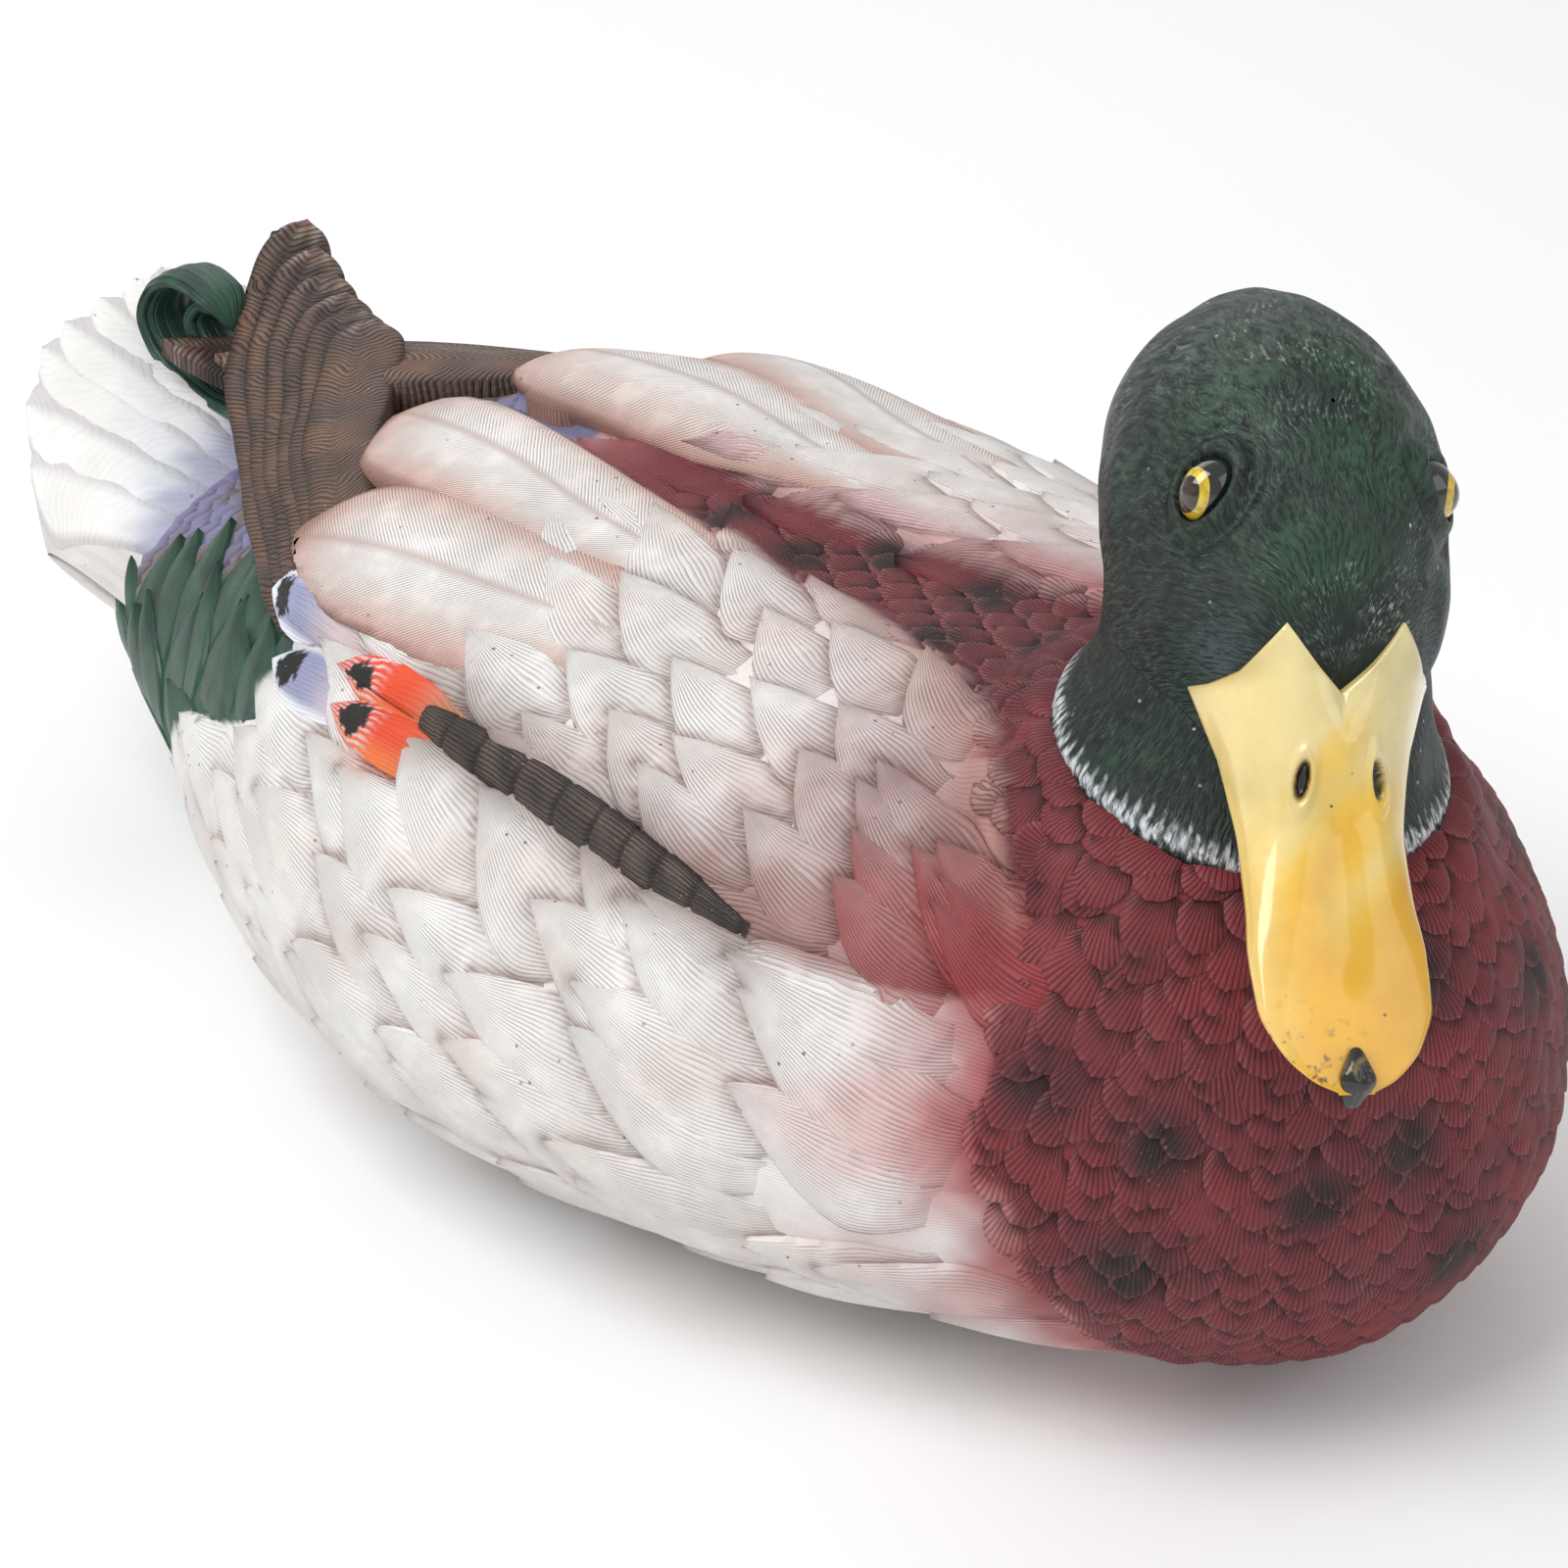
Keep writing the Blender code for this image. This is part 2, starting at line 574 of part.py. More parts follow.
def head_shell(look, pivot):
    azimuths = np.linspace(0, 2 * math.pi, 36, endpoint=False)
    rings = [head_points(share, azimuths) for share in np.linspace(0.05, 1.0, 20)]
    rings[-1] = rings[-1] + [0, 0, GAP]
    head = add("head_shell", skin(rings), look, pivot)
    muzzle_cut = box((90, 60, 60), (0, 0, 0))
    place_in_bill(muzzle_cut, 0, -5 - GAP + 30, 25.6 + 30)
    boolean(head, add("muzzle_cut", muzzle_cut, parent=pivot))
    chin_cut = box((35, 50, 60), (0, 0, 0))
    place_in_bill(chin_cut, 0, 5.5 + 25, 22.5 + 30)
    boolean(head, add("chin_cut", chin_cut, parent=pivot))
    for side in (-1, 1):
        socket = bmesh.new()
        bmesh.ops.create_uvsphere(socket, u_segments=16, v_segments=10, radius=EYE_RADIUS + GAP)
        place = Vector((side * EYE_CENTRE[0], *EYE_CENTRE[1:]))
        boolean(head, add("eye_socket", socket, parent=pivot, location=place))
    boolean(head, add("stud_hole", rod(4.4, -5, 22), parent=pivot))
    return head


def place_in_bill(bm, x, s, h):
    """Turns a block built along Y into the bill's plane and moves its middle there."""
    bmesh.ops.rotate(bm, verts=bm.verts, cent=(0, 0, 0), matrix=Matrix.Rotation(BILL_PITCH, 3, "X"))
    bmesh.ops.translate(bm, verts=bm.verts, vec=bill_point(x, s, h))


def bill_section(s, half, low, high, flat_under):
    ring = []
    for a in np.linspace(0, 2 * math.pi, 20, endpoint=False):
        rise = math.sin(a)
        if rise > 0:
            h = low + (high - low) * rise**0.85
        else:
            h = low + flat_under * rise
        ring.append(bill_point(half * math.cos(a), s, h))
    return np.array(ring)


def upper_bill(look, pivot):
    rings = []
    for s in np.concatenate([np.linspace(BILL_S[0], 54, 15), [56, 58, 60, 61.2, 62]]):
        half = through(BILL_HALF_WIDTH, s, BILL_S)
        low = through(BILL_EDGE_H, s, BILL_S)
        high = through(BILL_TOP_H, s, BILL_S)
        rings.append(bill_section(s, half, low, high, 0.0))
    return add("upper_bill", skin(rings), look, pivot)


def lower_bill(look, pivot):
    rings = []
    for s in np.linspace(6.0, 58.0, 14):
        half = through(BILL_HALF_WIDTH, s, BILL_S) - 1.4
        edge = through(BILL_EDGE_H, s, BILL_S) - 0.5
        rings.append(bill_section(s, half, edge - 0.5, edge, 2.2))
    return add("lower_bill", skin(rings), look, pivot)


def bill_nail(look, pivot):
    rings = []
    for s, half, low, high in [
        (53.5, 0.6, 36.4, 36.8), (55.5, 2.0, 36.4, 37.7), (58.5, 2.7, 36.5, 38.3),
        (61.5, 2.5, 36.5, 38.0), (63.8, 1.6, 36.3, 37.3), (64.8, 0.6, 36.3, 36.7),
    ]:
        rings.append(bill_section(s, half, low, high, 0.0))
    return add("bill_nail", skin(rings), look, pivot)


def eye(name, side, look, pivot):
    ball = bmesh.new()
    bmesh.ops.create_uvsphere(ball, u_segments=16, v_segments=10, radius=EYE_RADIUS)
    return add(name, ball, look, pivot, location=(side * EYE_CENTRE[0], *EYE_CENTRE[1:]))


# ------------------------------------------------------------------------------------- neck hardware


def neck_hardware(bush_look, steel, neck, pivot):
    bush = [(4.5, -9), (9, -9), (9, -2.95), (14, -2.95), (14, -GAP), (4.5, -GAP)]
    add("neck_bush", turned(bush), bush_look, neck)
    stud = [(0, -27), (3.2, -27), (4, -26), (4, 20.5), (3.4, 21.3), (0, 21.3)]
    add("neck_stud", turned(stud, 24), steel, pivot)
    washer = [(4.6, -15.2), (8.8, -14.2), (8.8, -13.4), (4.6, -14.4)]
    add("spring_washer", turned(washer, 28), steel, neck)
    nut = rod(7.6, -22.0, -15.6, segments=6)
    lock_nut = add("lock_nut", nut, steel, pivot, smooth=False)
    boolean(lock_nut, add("nut_bore", rod(4.35, -40, 0), parent=pivot))


# ------------------------------------------------------------------------------------------------- main


def main():
    clear_scene()
    root = empty("decoy")
    neck = empty("neck_axis", NECK_CENTRE, (NECK_TILT, 0, 0), root)
    head_pivot = empty("head_pivot", (0, 0, 0), (0, 0, HEAD_TURN), neck)

    shell_paint = material("shell_paint", (0.62, 0.55, 0.52), 0.62)
    hull_paint = material("hull_paint", (0.55, 0.52, 0.49), 0.65)
    wing_paint = material("wing_paint", (0.74, 0.68, 0.65), 0.6)
    primary_paint = material("primary_paint", (0.12, 0.075, 0.06), 0.6)
    tail_paint = material("tail_paint", (0.76, 0.76, 0.77), 0.6)
    curl_paint = material("curl_paint", (0.02, 0.06, 0.035), 0.5)
    head_paint = material("head_paint", (0.018, 0.035, 0.028), 0.5)
    bill_paint = material("bill_paint", (0.72, 0.42, 0.08), 0.28, coat=0.4)
    nail_paint = material("nail_paint", (0.02, 0.022, 0.02), 0.25)
    eye_gloss = material("eye_gloss", (0.55, 0.42, 0.05), 0.08, coat=1.0)
    steel = material("plated_steel", (0.6, 0.6, 0.58), 0.35, metallic=1.0)
    lead_grey = material("ballast_iron", (0.2, 0.2, 0.21), 0.7, metallic=0.6)
    rubber = material("seal_rubber", (0.03, 0.03, 0.03), 0.8)
    foam_white = material("foam_white", (0.85, 0.85, 0.8), 0.9)
    bush_nylon = material("bush_nylon", (0.75, 0.74, 0.68), 0.45)

    body_shell(shell_paint, root)
    hull_bottom(hull_paint, root)
    hull_gasket(rubber, root)
    for i, (x, y) in enumerate(both_sides(HULL_SCREWS)):
        screw(f"hull_screw_{i + 1}", steel, root, x, y, 2.5, 14.0)
    ballast(lead_grey, steel, root)
    drain(rubber, rubber, root)
    tether(steel, root)
    foam(foam_white, root)

    wing("right_wing", -1, wing_paint, root)
    wing("left_wing", 1, wing_paint, root)
    primaries("right_primaries", RIGHT_LEAD, RIGHT_TRAIL, primary_paint, root)
    primaries("left_primaries", LEFT_LEAD, LEFT_TRAIL, primary_paint, root)
    tail_fan(tail_paint, root)
    curl("curl_feather_right", BIG_CURL, -5.5, 10.0, curl_paint, root)
    curl("curl_feather_left", SMALL_CURL, 5.0, 7.0, curl_paint, root)

    head_shell(head_paint, head_pivot)
    upper_bill(bill_paint, head_pivot)
    lower_bill(bill_paint, head_pivot)
    bill_nail(nail_paint, head_pivot)
    eye("right_eye", -1, eye_gloss, head_pivot)
    eye("left_eye", 1, eye_gloss, head_pivot)
    neck_hardware(bush_nylon, steel, neck, head_pivot)


main()
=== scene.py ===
"""Looks of the floating duck decoy: carved and painted feathers, hair strokes, glossy bill and eyes.

Lengths are in millimetres in the model's own frame: +Z up, the duck faces -Y, its right is -X. MM turns
them into metres when a mesh is made. Pieces on the head are built in the neck seat's frame.
"""

import math
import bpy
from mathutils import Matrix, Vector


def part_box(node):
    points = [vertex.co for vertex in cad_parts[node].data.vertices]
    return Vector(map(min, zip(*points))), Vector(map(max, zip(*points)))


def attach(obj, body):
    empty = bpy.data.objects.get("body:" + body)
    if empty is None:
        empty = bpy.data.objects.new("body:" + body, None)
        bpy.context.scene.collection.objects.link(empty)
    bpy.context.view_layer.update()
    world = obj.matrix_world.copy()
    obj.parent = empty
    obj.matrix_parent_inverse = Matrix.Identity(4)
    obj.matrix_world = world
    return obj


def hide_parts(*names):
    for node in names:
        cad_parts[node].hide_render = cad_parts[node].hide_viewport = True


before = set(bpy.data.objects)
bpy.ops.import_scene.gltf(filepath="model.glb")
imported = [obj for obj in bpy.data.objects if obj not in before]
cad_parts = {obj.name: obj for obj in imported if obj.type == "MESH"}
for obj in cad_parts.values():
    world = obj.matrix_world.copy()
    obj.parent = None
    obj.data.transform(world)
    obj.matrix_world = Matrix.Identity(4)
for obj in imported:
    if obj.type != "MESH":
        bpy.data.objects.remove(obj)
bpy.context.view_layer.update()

from types import SimpleNamespace

import bpy
import numpy as np
from mathutils import Euler, Matrix, Vector
from mathutils.bvhtree import BVHTree
from mathutils.kdtree import KDTree

MM = 0.001
rng = np.random.default_rng(7)

# The body's sections, as in the solid model: its length comes from the frame.
NOSE_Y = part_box("body_shell")[0][1] / MM
TAIL_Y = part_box("tail_fan")[1][1] / MM
STATION_Y = [NOSE_Y, -182, -178, -168, -150, -125, -95, -60, -20, 20, 55, 85, 110, 130, 142, 149, 152]
HALF_WIDTH = [0, 15, 27, 42, 59, 74, 85.5, 93, 97, 92.5, 80, 66, 55, 45, 34, 18, 0]
TOP_Z = [58, 76, 88, 99, 106, 110, 111, 109, 107, 107.5, 104.5, 98, 86, 76, 69, 63, 58]
BOTTOM_Z = [58, 40, 28, 16, 8, 3.5, 1, -1.5, -2, -2, 0, 8, 22, 36, 46, 52, 58]
WIDEST_Z = [58, 57, 56, 56, 57, 56, 54, 51, 49, 49, 48, 48, 51, 54, 56, 57, 58]
BOXINESS = [0.97, 0.97, 0.97, 0.97, 0.96, 0.94, 0.92, 0.9, 0.89, 0.9, 0.95, 1.02, 1.08, 1.1, 1.1, 1.1, 1.1]
SHOULDER = [1.3, 1.35, 1.4, 1.42, 1.38, 1.25, 1.08, 0.96, 0.92, 0.92, 0.95, 1.02, 1.08, 1.1, 1.1, 1.1, 1.1]
LAST_STATION = len(STATION_Y) - 1

# The neck seat: the plane that the head turns on.
NECK_CENTRE = Vector((0.0, -130.3, 111.5))
NECK_TILT = math.radians(14.0)
NECK_RADIUS = 33.8
NECK_BLEND = 14.0
HEAD_TURN = math.radians(-31.0)

# A wing on the back: its inner and outer edges as angles from the midline, and how far it stands up.
WING_Y = [-130, -116, -100, -80, -50, -20, 10, 40, 60, 74]
WING_INNER = [-44, -32, -19, -9.5, -6, -4.5, -4, -4, -5, -8]
WING_OUTER = [-50, -54, -55, -52, -48, -44.5, -44, -44, -38, -28]
WING_HEIGHT = [0.5, 2.4, 3.2, 3.8, 4.2, 4.4, 4.8, 5.2, 4.0, 0.0]


def srgb(red, green, blue):
    """A colour given from 0 to 255 as the eye sees it, in linear light."""
    c = np.array([red, green, blue]) / 255
    return np.where(c < 0.04045, c / 12.92, ((c + 0.055) / 1.055) ** 2.4)


WHITE = srgb(234, 232, 230)
WARM_WHITE = srgb(226, 216, 210)
PINK = srgb(196, 120, 122)
RED = srgb(158, 62, 66)
MAROON = srgb(116, 46, 53)
DARK_MAROON = srgb(74, 28, 34)
SPOT = srgb(52, 34, 36)
LAVENDER = srgb(152, 156, 186)
ORANGE = srgb(232, 92, 44)
BLACK = srgb(34, 33, 33)
PURPLE = srgb(128, 126, 160)
RUMP_BROWN = srgb(118, 104, 98)
TUFT_GREEN = srgb(46, 84, 66)
DARK_BROWN = srgb(58, 45, 40)
TAIL_BLUE = srgb(206, 214, 226)
# The next two are tints of painted shade where a feather passes under the edge of its neighbour.
VALLEY_SHADE = srgb(172, 150, 143)
DEEP_VALLEY_SHADE = srgb(120, 96, 100)


# ---------------------------------------------------------------------------------------------- helpers


def ease(low, high, value):
    """0 below low, 1 above high and smooth between."""
    t = np.clip((value - low) / (high - low), 0.0, 1.0)
    return t * t * (3 - 2 * t)


def through(values, x, knots=None):
    """A smooth curve through values at knots that never overshoots them."""
    ys = np.asarray(values, float)
    xs = np.arange(len(ys), dtype=float) if knots is None else np.asarray(knots, float)
    x = np.clip(np.asarray(x, float), xs[0], xs[-1])
    slope = np.diff(ys) / np.diff(xs)
    tangent = np.empty(len(ys))
    before, after = slope[:-1], slope[1:]
    same_way = before * after > 0
    mean = np.where(same_way, before + after, 1.0)
    tangent[1:-1] = np.where(same_way, 2 * before * after / mean, 0.0)
    tangent[0], tangent[-1] = slope[0], slope[-1]
    i = np.clip(np.searchsorted(xs, x, side="right") - 1, 0, len(xs) - 2)
    step = xs[i + 1] - xs[i]
    t = (x - xs[i]) / step
    rise = (3 - 2 * t) * t * t
    curve = step * t * (1 - t) * ((1 - t) * tangent[i] - t * tangent[i + 1])
    return ys[i] * (1 - rise) + ys[i + 1] * rise + curve


def bump(value, middle, width):
    """A smooth bump, 1 at middle."""
    return np.exp(-(((value - middle) / width) ** 2))


def unit(vectors):
    """The vectors at length 1."""
    return vectors / np.maximum(np.linalg.norm(vectors, axis=-1, keepdims=True), 1e-9)


def mix(a, b, share):
    """The colour a with share of b over it."""
    share = np.asarray(share)[..., None]
    return a * (1 - share) + b * share


def waves(points, size, seed=0):
    """Soft random waves from -1 to 1, about size across."""
    turn = np.random.default_rng(seed)
    total = 0
    for _ in range(6):
        pace = 2 * math.pi / size * unit(turn.normal(size=3))
        total = total + np.sin(points @ pace * turn.uniform(0.7, 1.4) + turn.uniform(0, 6.3))
    return total / 3.2


def circle(count):
    """Angles round a closed ring."""
    return np.linspace(0, 2 * math.pi, count + 1)[:-1]


def xyz(x, y, z):
    """Points or vectors from their three parts."""
    return np.stack(np.broadcast_arrays(x, y, z), axis=-1)


def tucked(shape):
    """1 along the tip and both sides of a feather's grid, whose edges turn down, and 0 elsewhere."""
    edge = np.zeros(shape)
    edge[..., -1, :] = 1
    edge[..., 0] = 1
    edge[..., -1] = 1
    return edge


def grid_piece(name, points, look, body, values, wrap=False, replaces=()):
    """One mesh from grids of points shaped (..., rows, columns, 3), with named values at its points.

    A value may be one number or colour, or an array that broadcasts to the points. wrap joins the last
    column to the first.
    """
    points = np.asarray(points, float)
    rows, columns = points.shape[-3:-1]
    count = points.reshape(-1, rows, columns, 3).shape[0]
    index = np.arange(count * rows * columns).reshape(count, rows, columns)
    if wrap:
        index = np.concatenate([index, index[:, :, :1]], axis=2)
    quads = np.stack([index[:, :-1, :-1], index[:, :-1, 1:], index[:, 1:, 1:], index[:, 1:, :-1]], axis=-1)
    quads = quads.reshape(-1, 4)
    mesh = bpy.data.meshes.new(name)
    mesh.vertices.add(count * rows * columns)
    mesh.vertices.foreach_set("co", (points.reshape(-1, 3) * MM).astype(np.float32).ravel())
    mesh.loops.add(quads.size)
    mesh.loops.foreach_set("vertex_index", quads.astype(np.int32).ravel())
    mesh.polygons.add(len(quads))
    mesh.polygons.foreach_set("loop_start", np.arange(0, quads.size, 4, dtype=np.int32))
    mesh.update(calc_edges=True)
    mesh.shade_smooth()
    for key, value in values.items():
        value = np.asarray(value, float)
        if value.shape[-1:] == (3,):
            full = np.ones((*points.shape[:-1], 4))
            full[..., :3] = np.clip(value, 0, 1)
            mesh.attributes.new(key, "FLOAT_COLOR", "POINT").data.foreach_set("color", full.ravel())
        else:
            value = np.broadcast_to(value, points.shape[:-1])
            mesh.attributes.new(key, "FLOAT", "POINT").data.foreach_set("value", value.ravel())
    mesh.materials.append(look)
    piece = bpy.data.objects.new(name, mesh)
    bpy.context.scene.collection.objects.link(piece)
    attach(piece, body)
    if replaces:
        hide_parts(*replaces)
    return piece


# -------------------------------------------------------------------------------------------- materials


class Nodes:
    """A short way to write a material's nodes."""

    def __init__(self, name):
        self.material = bpy.data.materials.new(name)
        self.material.use_nodes = True
        self.tree = self.material.node_tree
        self.shader = self.tree.nodes["Principled BSDF"]

    def put(self, socket, value):
        if isinstance(value, bpy.types.NodeSocket):
            self.tree.links.new(value, socket)
        else:
            socket.default_value = value

    def value(self, name):
        node = self.tree.nodes.new("ShaderNodeAttribute")
        node.attribute_name = name
        return node.outputs["Fac"]

    def colour(self, name):
        node = self.tree.nodes.new("ShaderNodeAttribute")
        node.attribute_name = name
        return node.outputs["Color"]

    def math(self, operation, a, b=0.0, c=0.0, clamp=False):
        node = self.tree.nodes.new("ShaderNodeMath")
        node.operation = operation
        node.use_clamp = clamp
        for socket, value in zip(node.inputs, (a, b, c)):
            self.put(socket, value)
        return node.outputs[0]

    def place(self):
        node = self.tree.nodes.new("ShaderNodeTexCoord")
        return node.outputs["Object"]

    def vector(self, x, y, z=0.0):
        node = self.tree.nodes.new("ShaderNodeCombineXYZ")
        for socket, value in zip(node.inputs, (x, y, z)):
            self.put(socket, value)
        return node.outputs[0]

    def noise(self, scale, detail=3.0, rough=0.5, vector=None):
        node = self.tree.nodes.new("ShaderNodeTexNoise")
        self.put(node.inputs["Vector"], vector or self.place())
        node.inputs["Scale"].default_value = scale
        node.inputs["Detail"].default_value = detail
        node.inputs["Roughness"].default_value = rough
        return node.outputs[0]

    def dots(self, scale, vector=None):
        """Distance to the nearest of many scattered points, in their own spacing."""
        node = self.tree.nodes.new("ShaderNodeTexVoronoi")
        self.put(node.inputs["Vector"], vector or self.place())
        node.inputs["Scale"].default_value = scale
        return node.outputs["Distance"]

    def ramp(self, value, low, high, out_low=0.0, out_high=1.0):
        node = self.tree.nodes.new("ShaderNodeMapRange")
        node.interpolation_type = "SMOOTHSTEP"
        for socket, number in zip(node.inputs, (value, low, high, out_low, out_high)):
            self.put(socket, number)
        return node.outputs[0]

    def blend(self, a, b, share, mode="MIX"):
        node = self.tree.nodes.new("ShaderNodeMix")
        node.data_type = "RGBA"
        node.blend_type = mode
        for socket, value in zip((node.inputs["Factor"], node.inputs[6], node.inputs[7]), (share, a, b)):
            if not isinstance(value, (bpy.types.NodeSocket, float, int)):
                value = (*value, 1.0)
            self.put(socket, value)
        return node.outputs[2]

    def finish(self, colour, roughness, height, depth, fixed=()):
        """Wires colour, roughness and bump, with height in depth metres, and sets the fixed sockets."""
        self.put(self.shader.inputs["Base Color"], colour)
        self.put(self.shader.inputs["Roughness"], roughness)
        bump = self.tree.nodes.new("ShaderNodeBump")
        bump.inputs["Strength"].default_value = 1.0
        bump.inputs["Distance"].default_value = depth
        self.put(bump.inputs["Height"], height)
        self.put(self.shader.inputs["Normal"], bump.outputs[0])
        for key, value in dict(fixed).items():
            self.shader.inputs[key].default_value = value
        return self.material


def plumage(name, comb_depth=0.00034, dust=0.5, shade=0.4, roughness=0.62, dust_colour=(0.8, 0.78, 0.76)):
    """Painted carved feathers: comb lines that follow each feather with painted shade in their grooves,
    pinholes darkened with painted shade, and dry-brushed specks.
    """
    n = Nodes(name)
    wander = n.math("MULTIPLY", n.noise(90.0, 2.0), 1.2)
    phase = n.math("MULTIPLY", n.math("ADD", n.value("comb"), wander), 2 * math.pi)
    wave = n.math("SINE", phase)
    valley = n.ramp(wave, -0.15, -1.0)
    broken = n.ramp(n.noise(160.0, 3.0), 0.30, 0.60, 0.35, 1.0)
    cut = n.math("MULTIPLY", n.math("MULTIPLY", valley, broken), n.value("groove"))
    mottle = n.ramp(n.noise(45.0, 4.0, 0.6), 0.3, 0.7, 0.93, 1.05)
    colour = n.blend(n.colour("paint"), n.vector(mottle, mottle, mottle), 1.0, "MULTIPLY")
    # Painted shade: the colour darkens along the comb grooves, by shade where they are deep.
    dark = n.blend(colour, (0.42, 0.36, 0.34), 1.0, "MULTIPLY")
    colour = n.blend(colour, dark, n.math("MULTIPLY", cut, shade, clamp=True))
    speck = n.ramp(n.noise(1500.0, 2.0, 0.6), 0.66, 0.74)
    speck = n.math("MULTIPLY", speck, n.ramp(n.noise(60.0, 3.0), 0.42, 0.66))
    speck = n.math("MULTIPLY", n.math("MULTIPLY", speck, n.ramp(wave, 0.1, 0.9)), dust, clamp=True)
    colour = n.blend(colour, dust_colour, speck)
    # Painted shade: dark dots in the pinholes.
    pits = n.ramp(n.dots(260.0), 0.10, 0.05)
    pits = n.math("MULTIPLY", pits, n.ramp(n.noise(90.0, 2.0), 0.5, 0.6))
    colour = n.blend(colour, (0.16, 0.13, 0.12), n.math("MULTIPLY", pits, 0.8))
    grain = n.math("MULTIPLY", n.noise(900.0, 3.0), 0.35)
    height = n.math("SUBTRACT", n.math("SUBTRACT", grain, n.math("MULTIPLY", cut, 1.0)), pits)
    rough = n.ramp(n.noise(70.0), 0.3, 0.7, roughness - 0.07, roughness + 0.07)
    return n.finish(colour, rough, height, comb_depth, {"Specular IOR Level": 0.4})


def hair_paint(name):
    """Head and neck: short strokes that run away from the bill, with painted shade in their lows and painted
    highlight on their crests, worn pale on the crown and forehead.
    """
    n = Nodes(name)
    along, across = n.value("along"), n.value("across")
    bent = n.math("ADD", across, n.math("MULTIPLY", n.noise(70.0, 2.0), 5.0))
    lines = n.vector(n.math("MULTIPLY", bent, 1.5), n.math("MULTIPLY", along, 0.34))
    strokes = n.noise(1.0, 2.0, 0.55, lines)
    finer = n.noise(1.9, 2.0, 0.6, lines)
    height = n.math("ADD", n.math("MULTIPLY", strokes, 0.6), n.math("MULTIPLY", finer, 0.4))
    crest = n.ramp(height, 0.50, 0.62)
    # Painted shade in the low parts of the strokes, then painted highlight in the light colour on their
    # crests.
    colour = n.blend(n.colour("paint"), (0.004, 0.007, 0.006), n.ramp(height, 0.50, 0.42, 0.0, 0.8))
    colour = n.blend(colour, n.colour("light"), n.math("MULTIPLY", crest, 0.4))
    worn = n.math("MULTIPLY", n.ramp(finer, 0.56, 0.66), n.value("wear"), clamp=True)
    worn = n.math("MULTIPLY", worn, n.ramp(n.noise(140.0, 3.0, 0.65), 0.46, 0.62))
    colour = n.blend(colour, (0.42, 0.44, 0.42), worn)
    speck = n.ramp(n.dots(330.0), 0.16, 0.08)
    speck = n.math("MULTIPLY", speck, n.ramp(n.noise(240.0, 2.0), 0.60, 0.68))
    colour = n.blend(colour, (0.62, 0.64, 0.60), speck)
    rough = n.ramp(n.noise(80.0), 0.3, 0.7, 0.42, 0.58)
    return n.finish(colour, rough, height, 0.0008, {"Specular IOR Level": 0.4})


def bill_paint(name):
    """Glossy yellow paint, worn to brown near the tip."""
    n = Nodes(name)
    tint = n.ramp(n.noise(55.0, 3.0, 0.6), 0.3, 0.7, 0.86, 1.08)
    paint = n.colour("paint")
    tint = n.vector(tint, tint, n.math("MULTIPLY", tint, 0.96))
    colour = n.blend(paint, tint, 1.0, "MULTIPLY")
    wear = n.math("MULTIPLY", n.ramp(n.noise(420.0, 4.0, 0.7), 0.56, 0.66), n.value("wear"), clamp=True)
    colour = n.blend(colour, (0.10, 0.055, 0.02), wear)
    specks = n.math("MULTIPLY", n.ramp(n.dots(150.0), 0.05, 0.03), n.ramp(n.noise(60.0), 0.5, 0.56))
    colour = n.blend(colour, (0.12, 0.07, 0.03), specks)
    swell = n.math("MULTIPLY", n.noise(90.0, 3.0), 0.8)
    height = n.math("ADD", swell, n.math("MULTIPLY", n.noise(600.0), 0.12))
    rough = n.ramp(n.noise(120.0), 0.3, 0.7, 0.18, 0.32)
    return n.finish(colour, rough, height, 0.0006, {"Coat Weight": 1.0, "Coat Roughness": 0.08})


def nail_paint(name):
    """Black, with a little gold rubbed into it."""
    n = Nodes(name)
    gold = n.ramp(n.noise(260.0, 4.0, 0.7), 0.56, 0.64)
    colour = n.blend((0.008, 0.008, 0.007), (0.14, 0.10, 0.03), gold)
    rough = n.ramp(n.noise(300.0), 0.3, 0.7, 0.12, 0.35)
    return n.finish(colour, rough, n.noise(380.0, 4.0), 0.0006, {"Coat Weight": 0.5})


def eye_gloss(name):
    """Rings by the angle from the middle of the eye: dark brown pupil, yellow iris, dark rim."""
    n = Nodes(name)
    ring = n.math("ADD", n.value("ring"), n.math("MULTIPLY", n.noise(500.0, 2.0), 0.5))
    pupil = n.blend((0.004, 0.003, 0.002), (0.045, 0.020, 0.008), n.ramp(n.noise(900.0, 3.0), 0.4, 0.6))
    yellow = n.blend((0.70, 0.52, 0.03), (0.50, 0.33, 0.015), n.ramp(n.noise(700.0, 3.0), 0.4, 0.65))
    colour = n.blend(pupil, yellow, n.ramp(ring, 30.5, 32.5))
    colour = n.blend(colour, (0.006, 0.009, 0.007), n.ramp(ring, 47.0, 49.0))
    return n.finish(colour, 0.06, n.noise(200.0), 0.00004, {"Coat Weight": 1.0, "Coat Roughness": 0.02})


def plain_finish(name, colour, worn, roughness, scale, depth, metallic=0.0):
    """The hidden pieces: a mottled surface with its own grain."""
    n = Nodes(name)
    patch = n.ramp(n.noise(scale / 6, 4.0, 0.6), 0.35, 0.65)
    rough = n.ramp(n.noise(scale / 2), 0.3, 0.7, roughness - 0.08, roughness + 0.1)
    return n.finish(n.blend(colour, worn, patch), rough, n.noise(scale, 4.0), depth, {"Metallic": metallic})


# ------------------------------------------------------------------------------------- body under the paint

NECK_AXIS = np.array([0.0, -math.sin(NECK_TILT), math.cos(NECK_TILT)])
NECK_BACK = np.array([0.0, math.cos(NECK_TILT), math.sin(NECK_TILT)])
STATIONS = np.linspace(0, LAST_STATION, 1601)
STATIONS_Y = through(STATION_Y, STATIONS)


def station_at(y):
    """The place along the list of sections, by y."""
    return np.interp(y, STATIONS_Y, STATIONS)


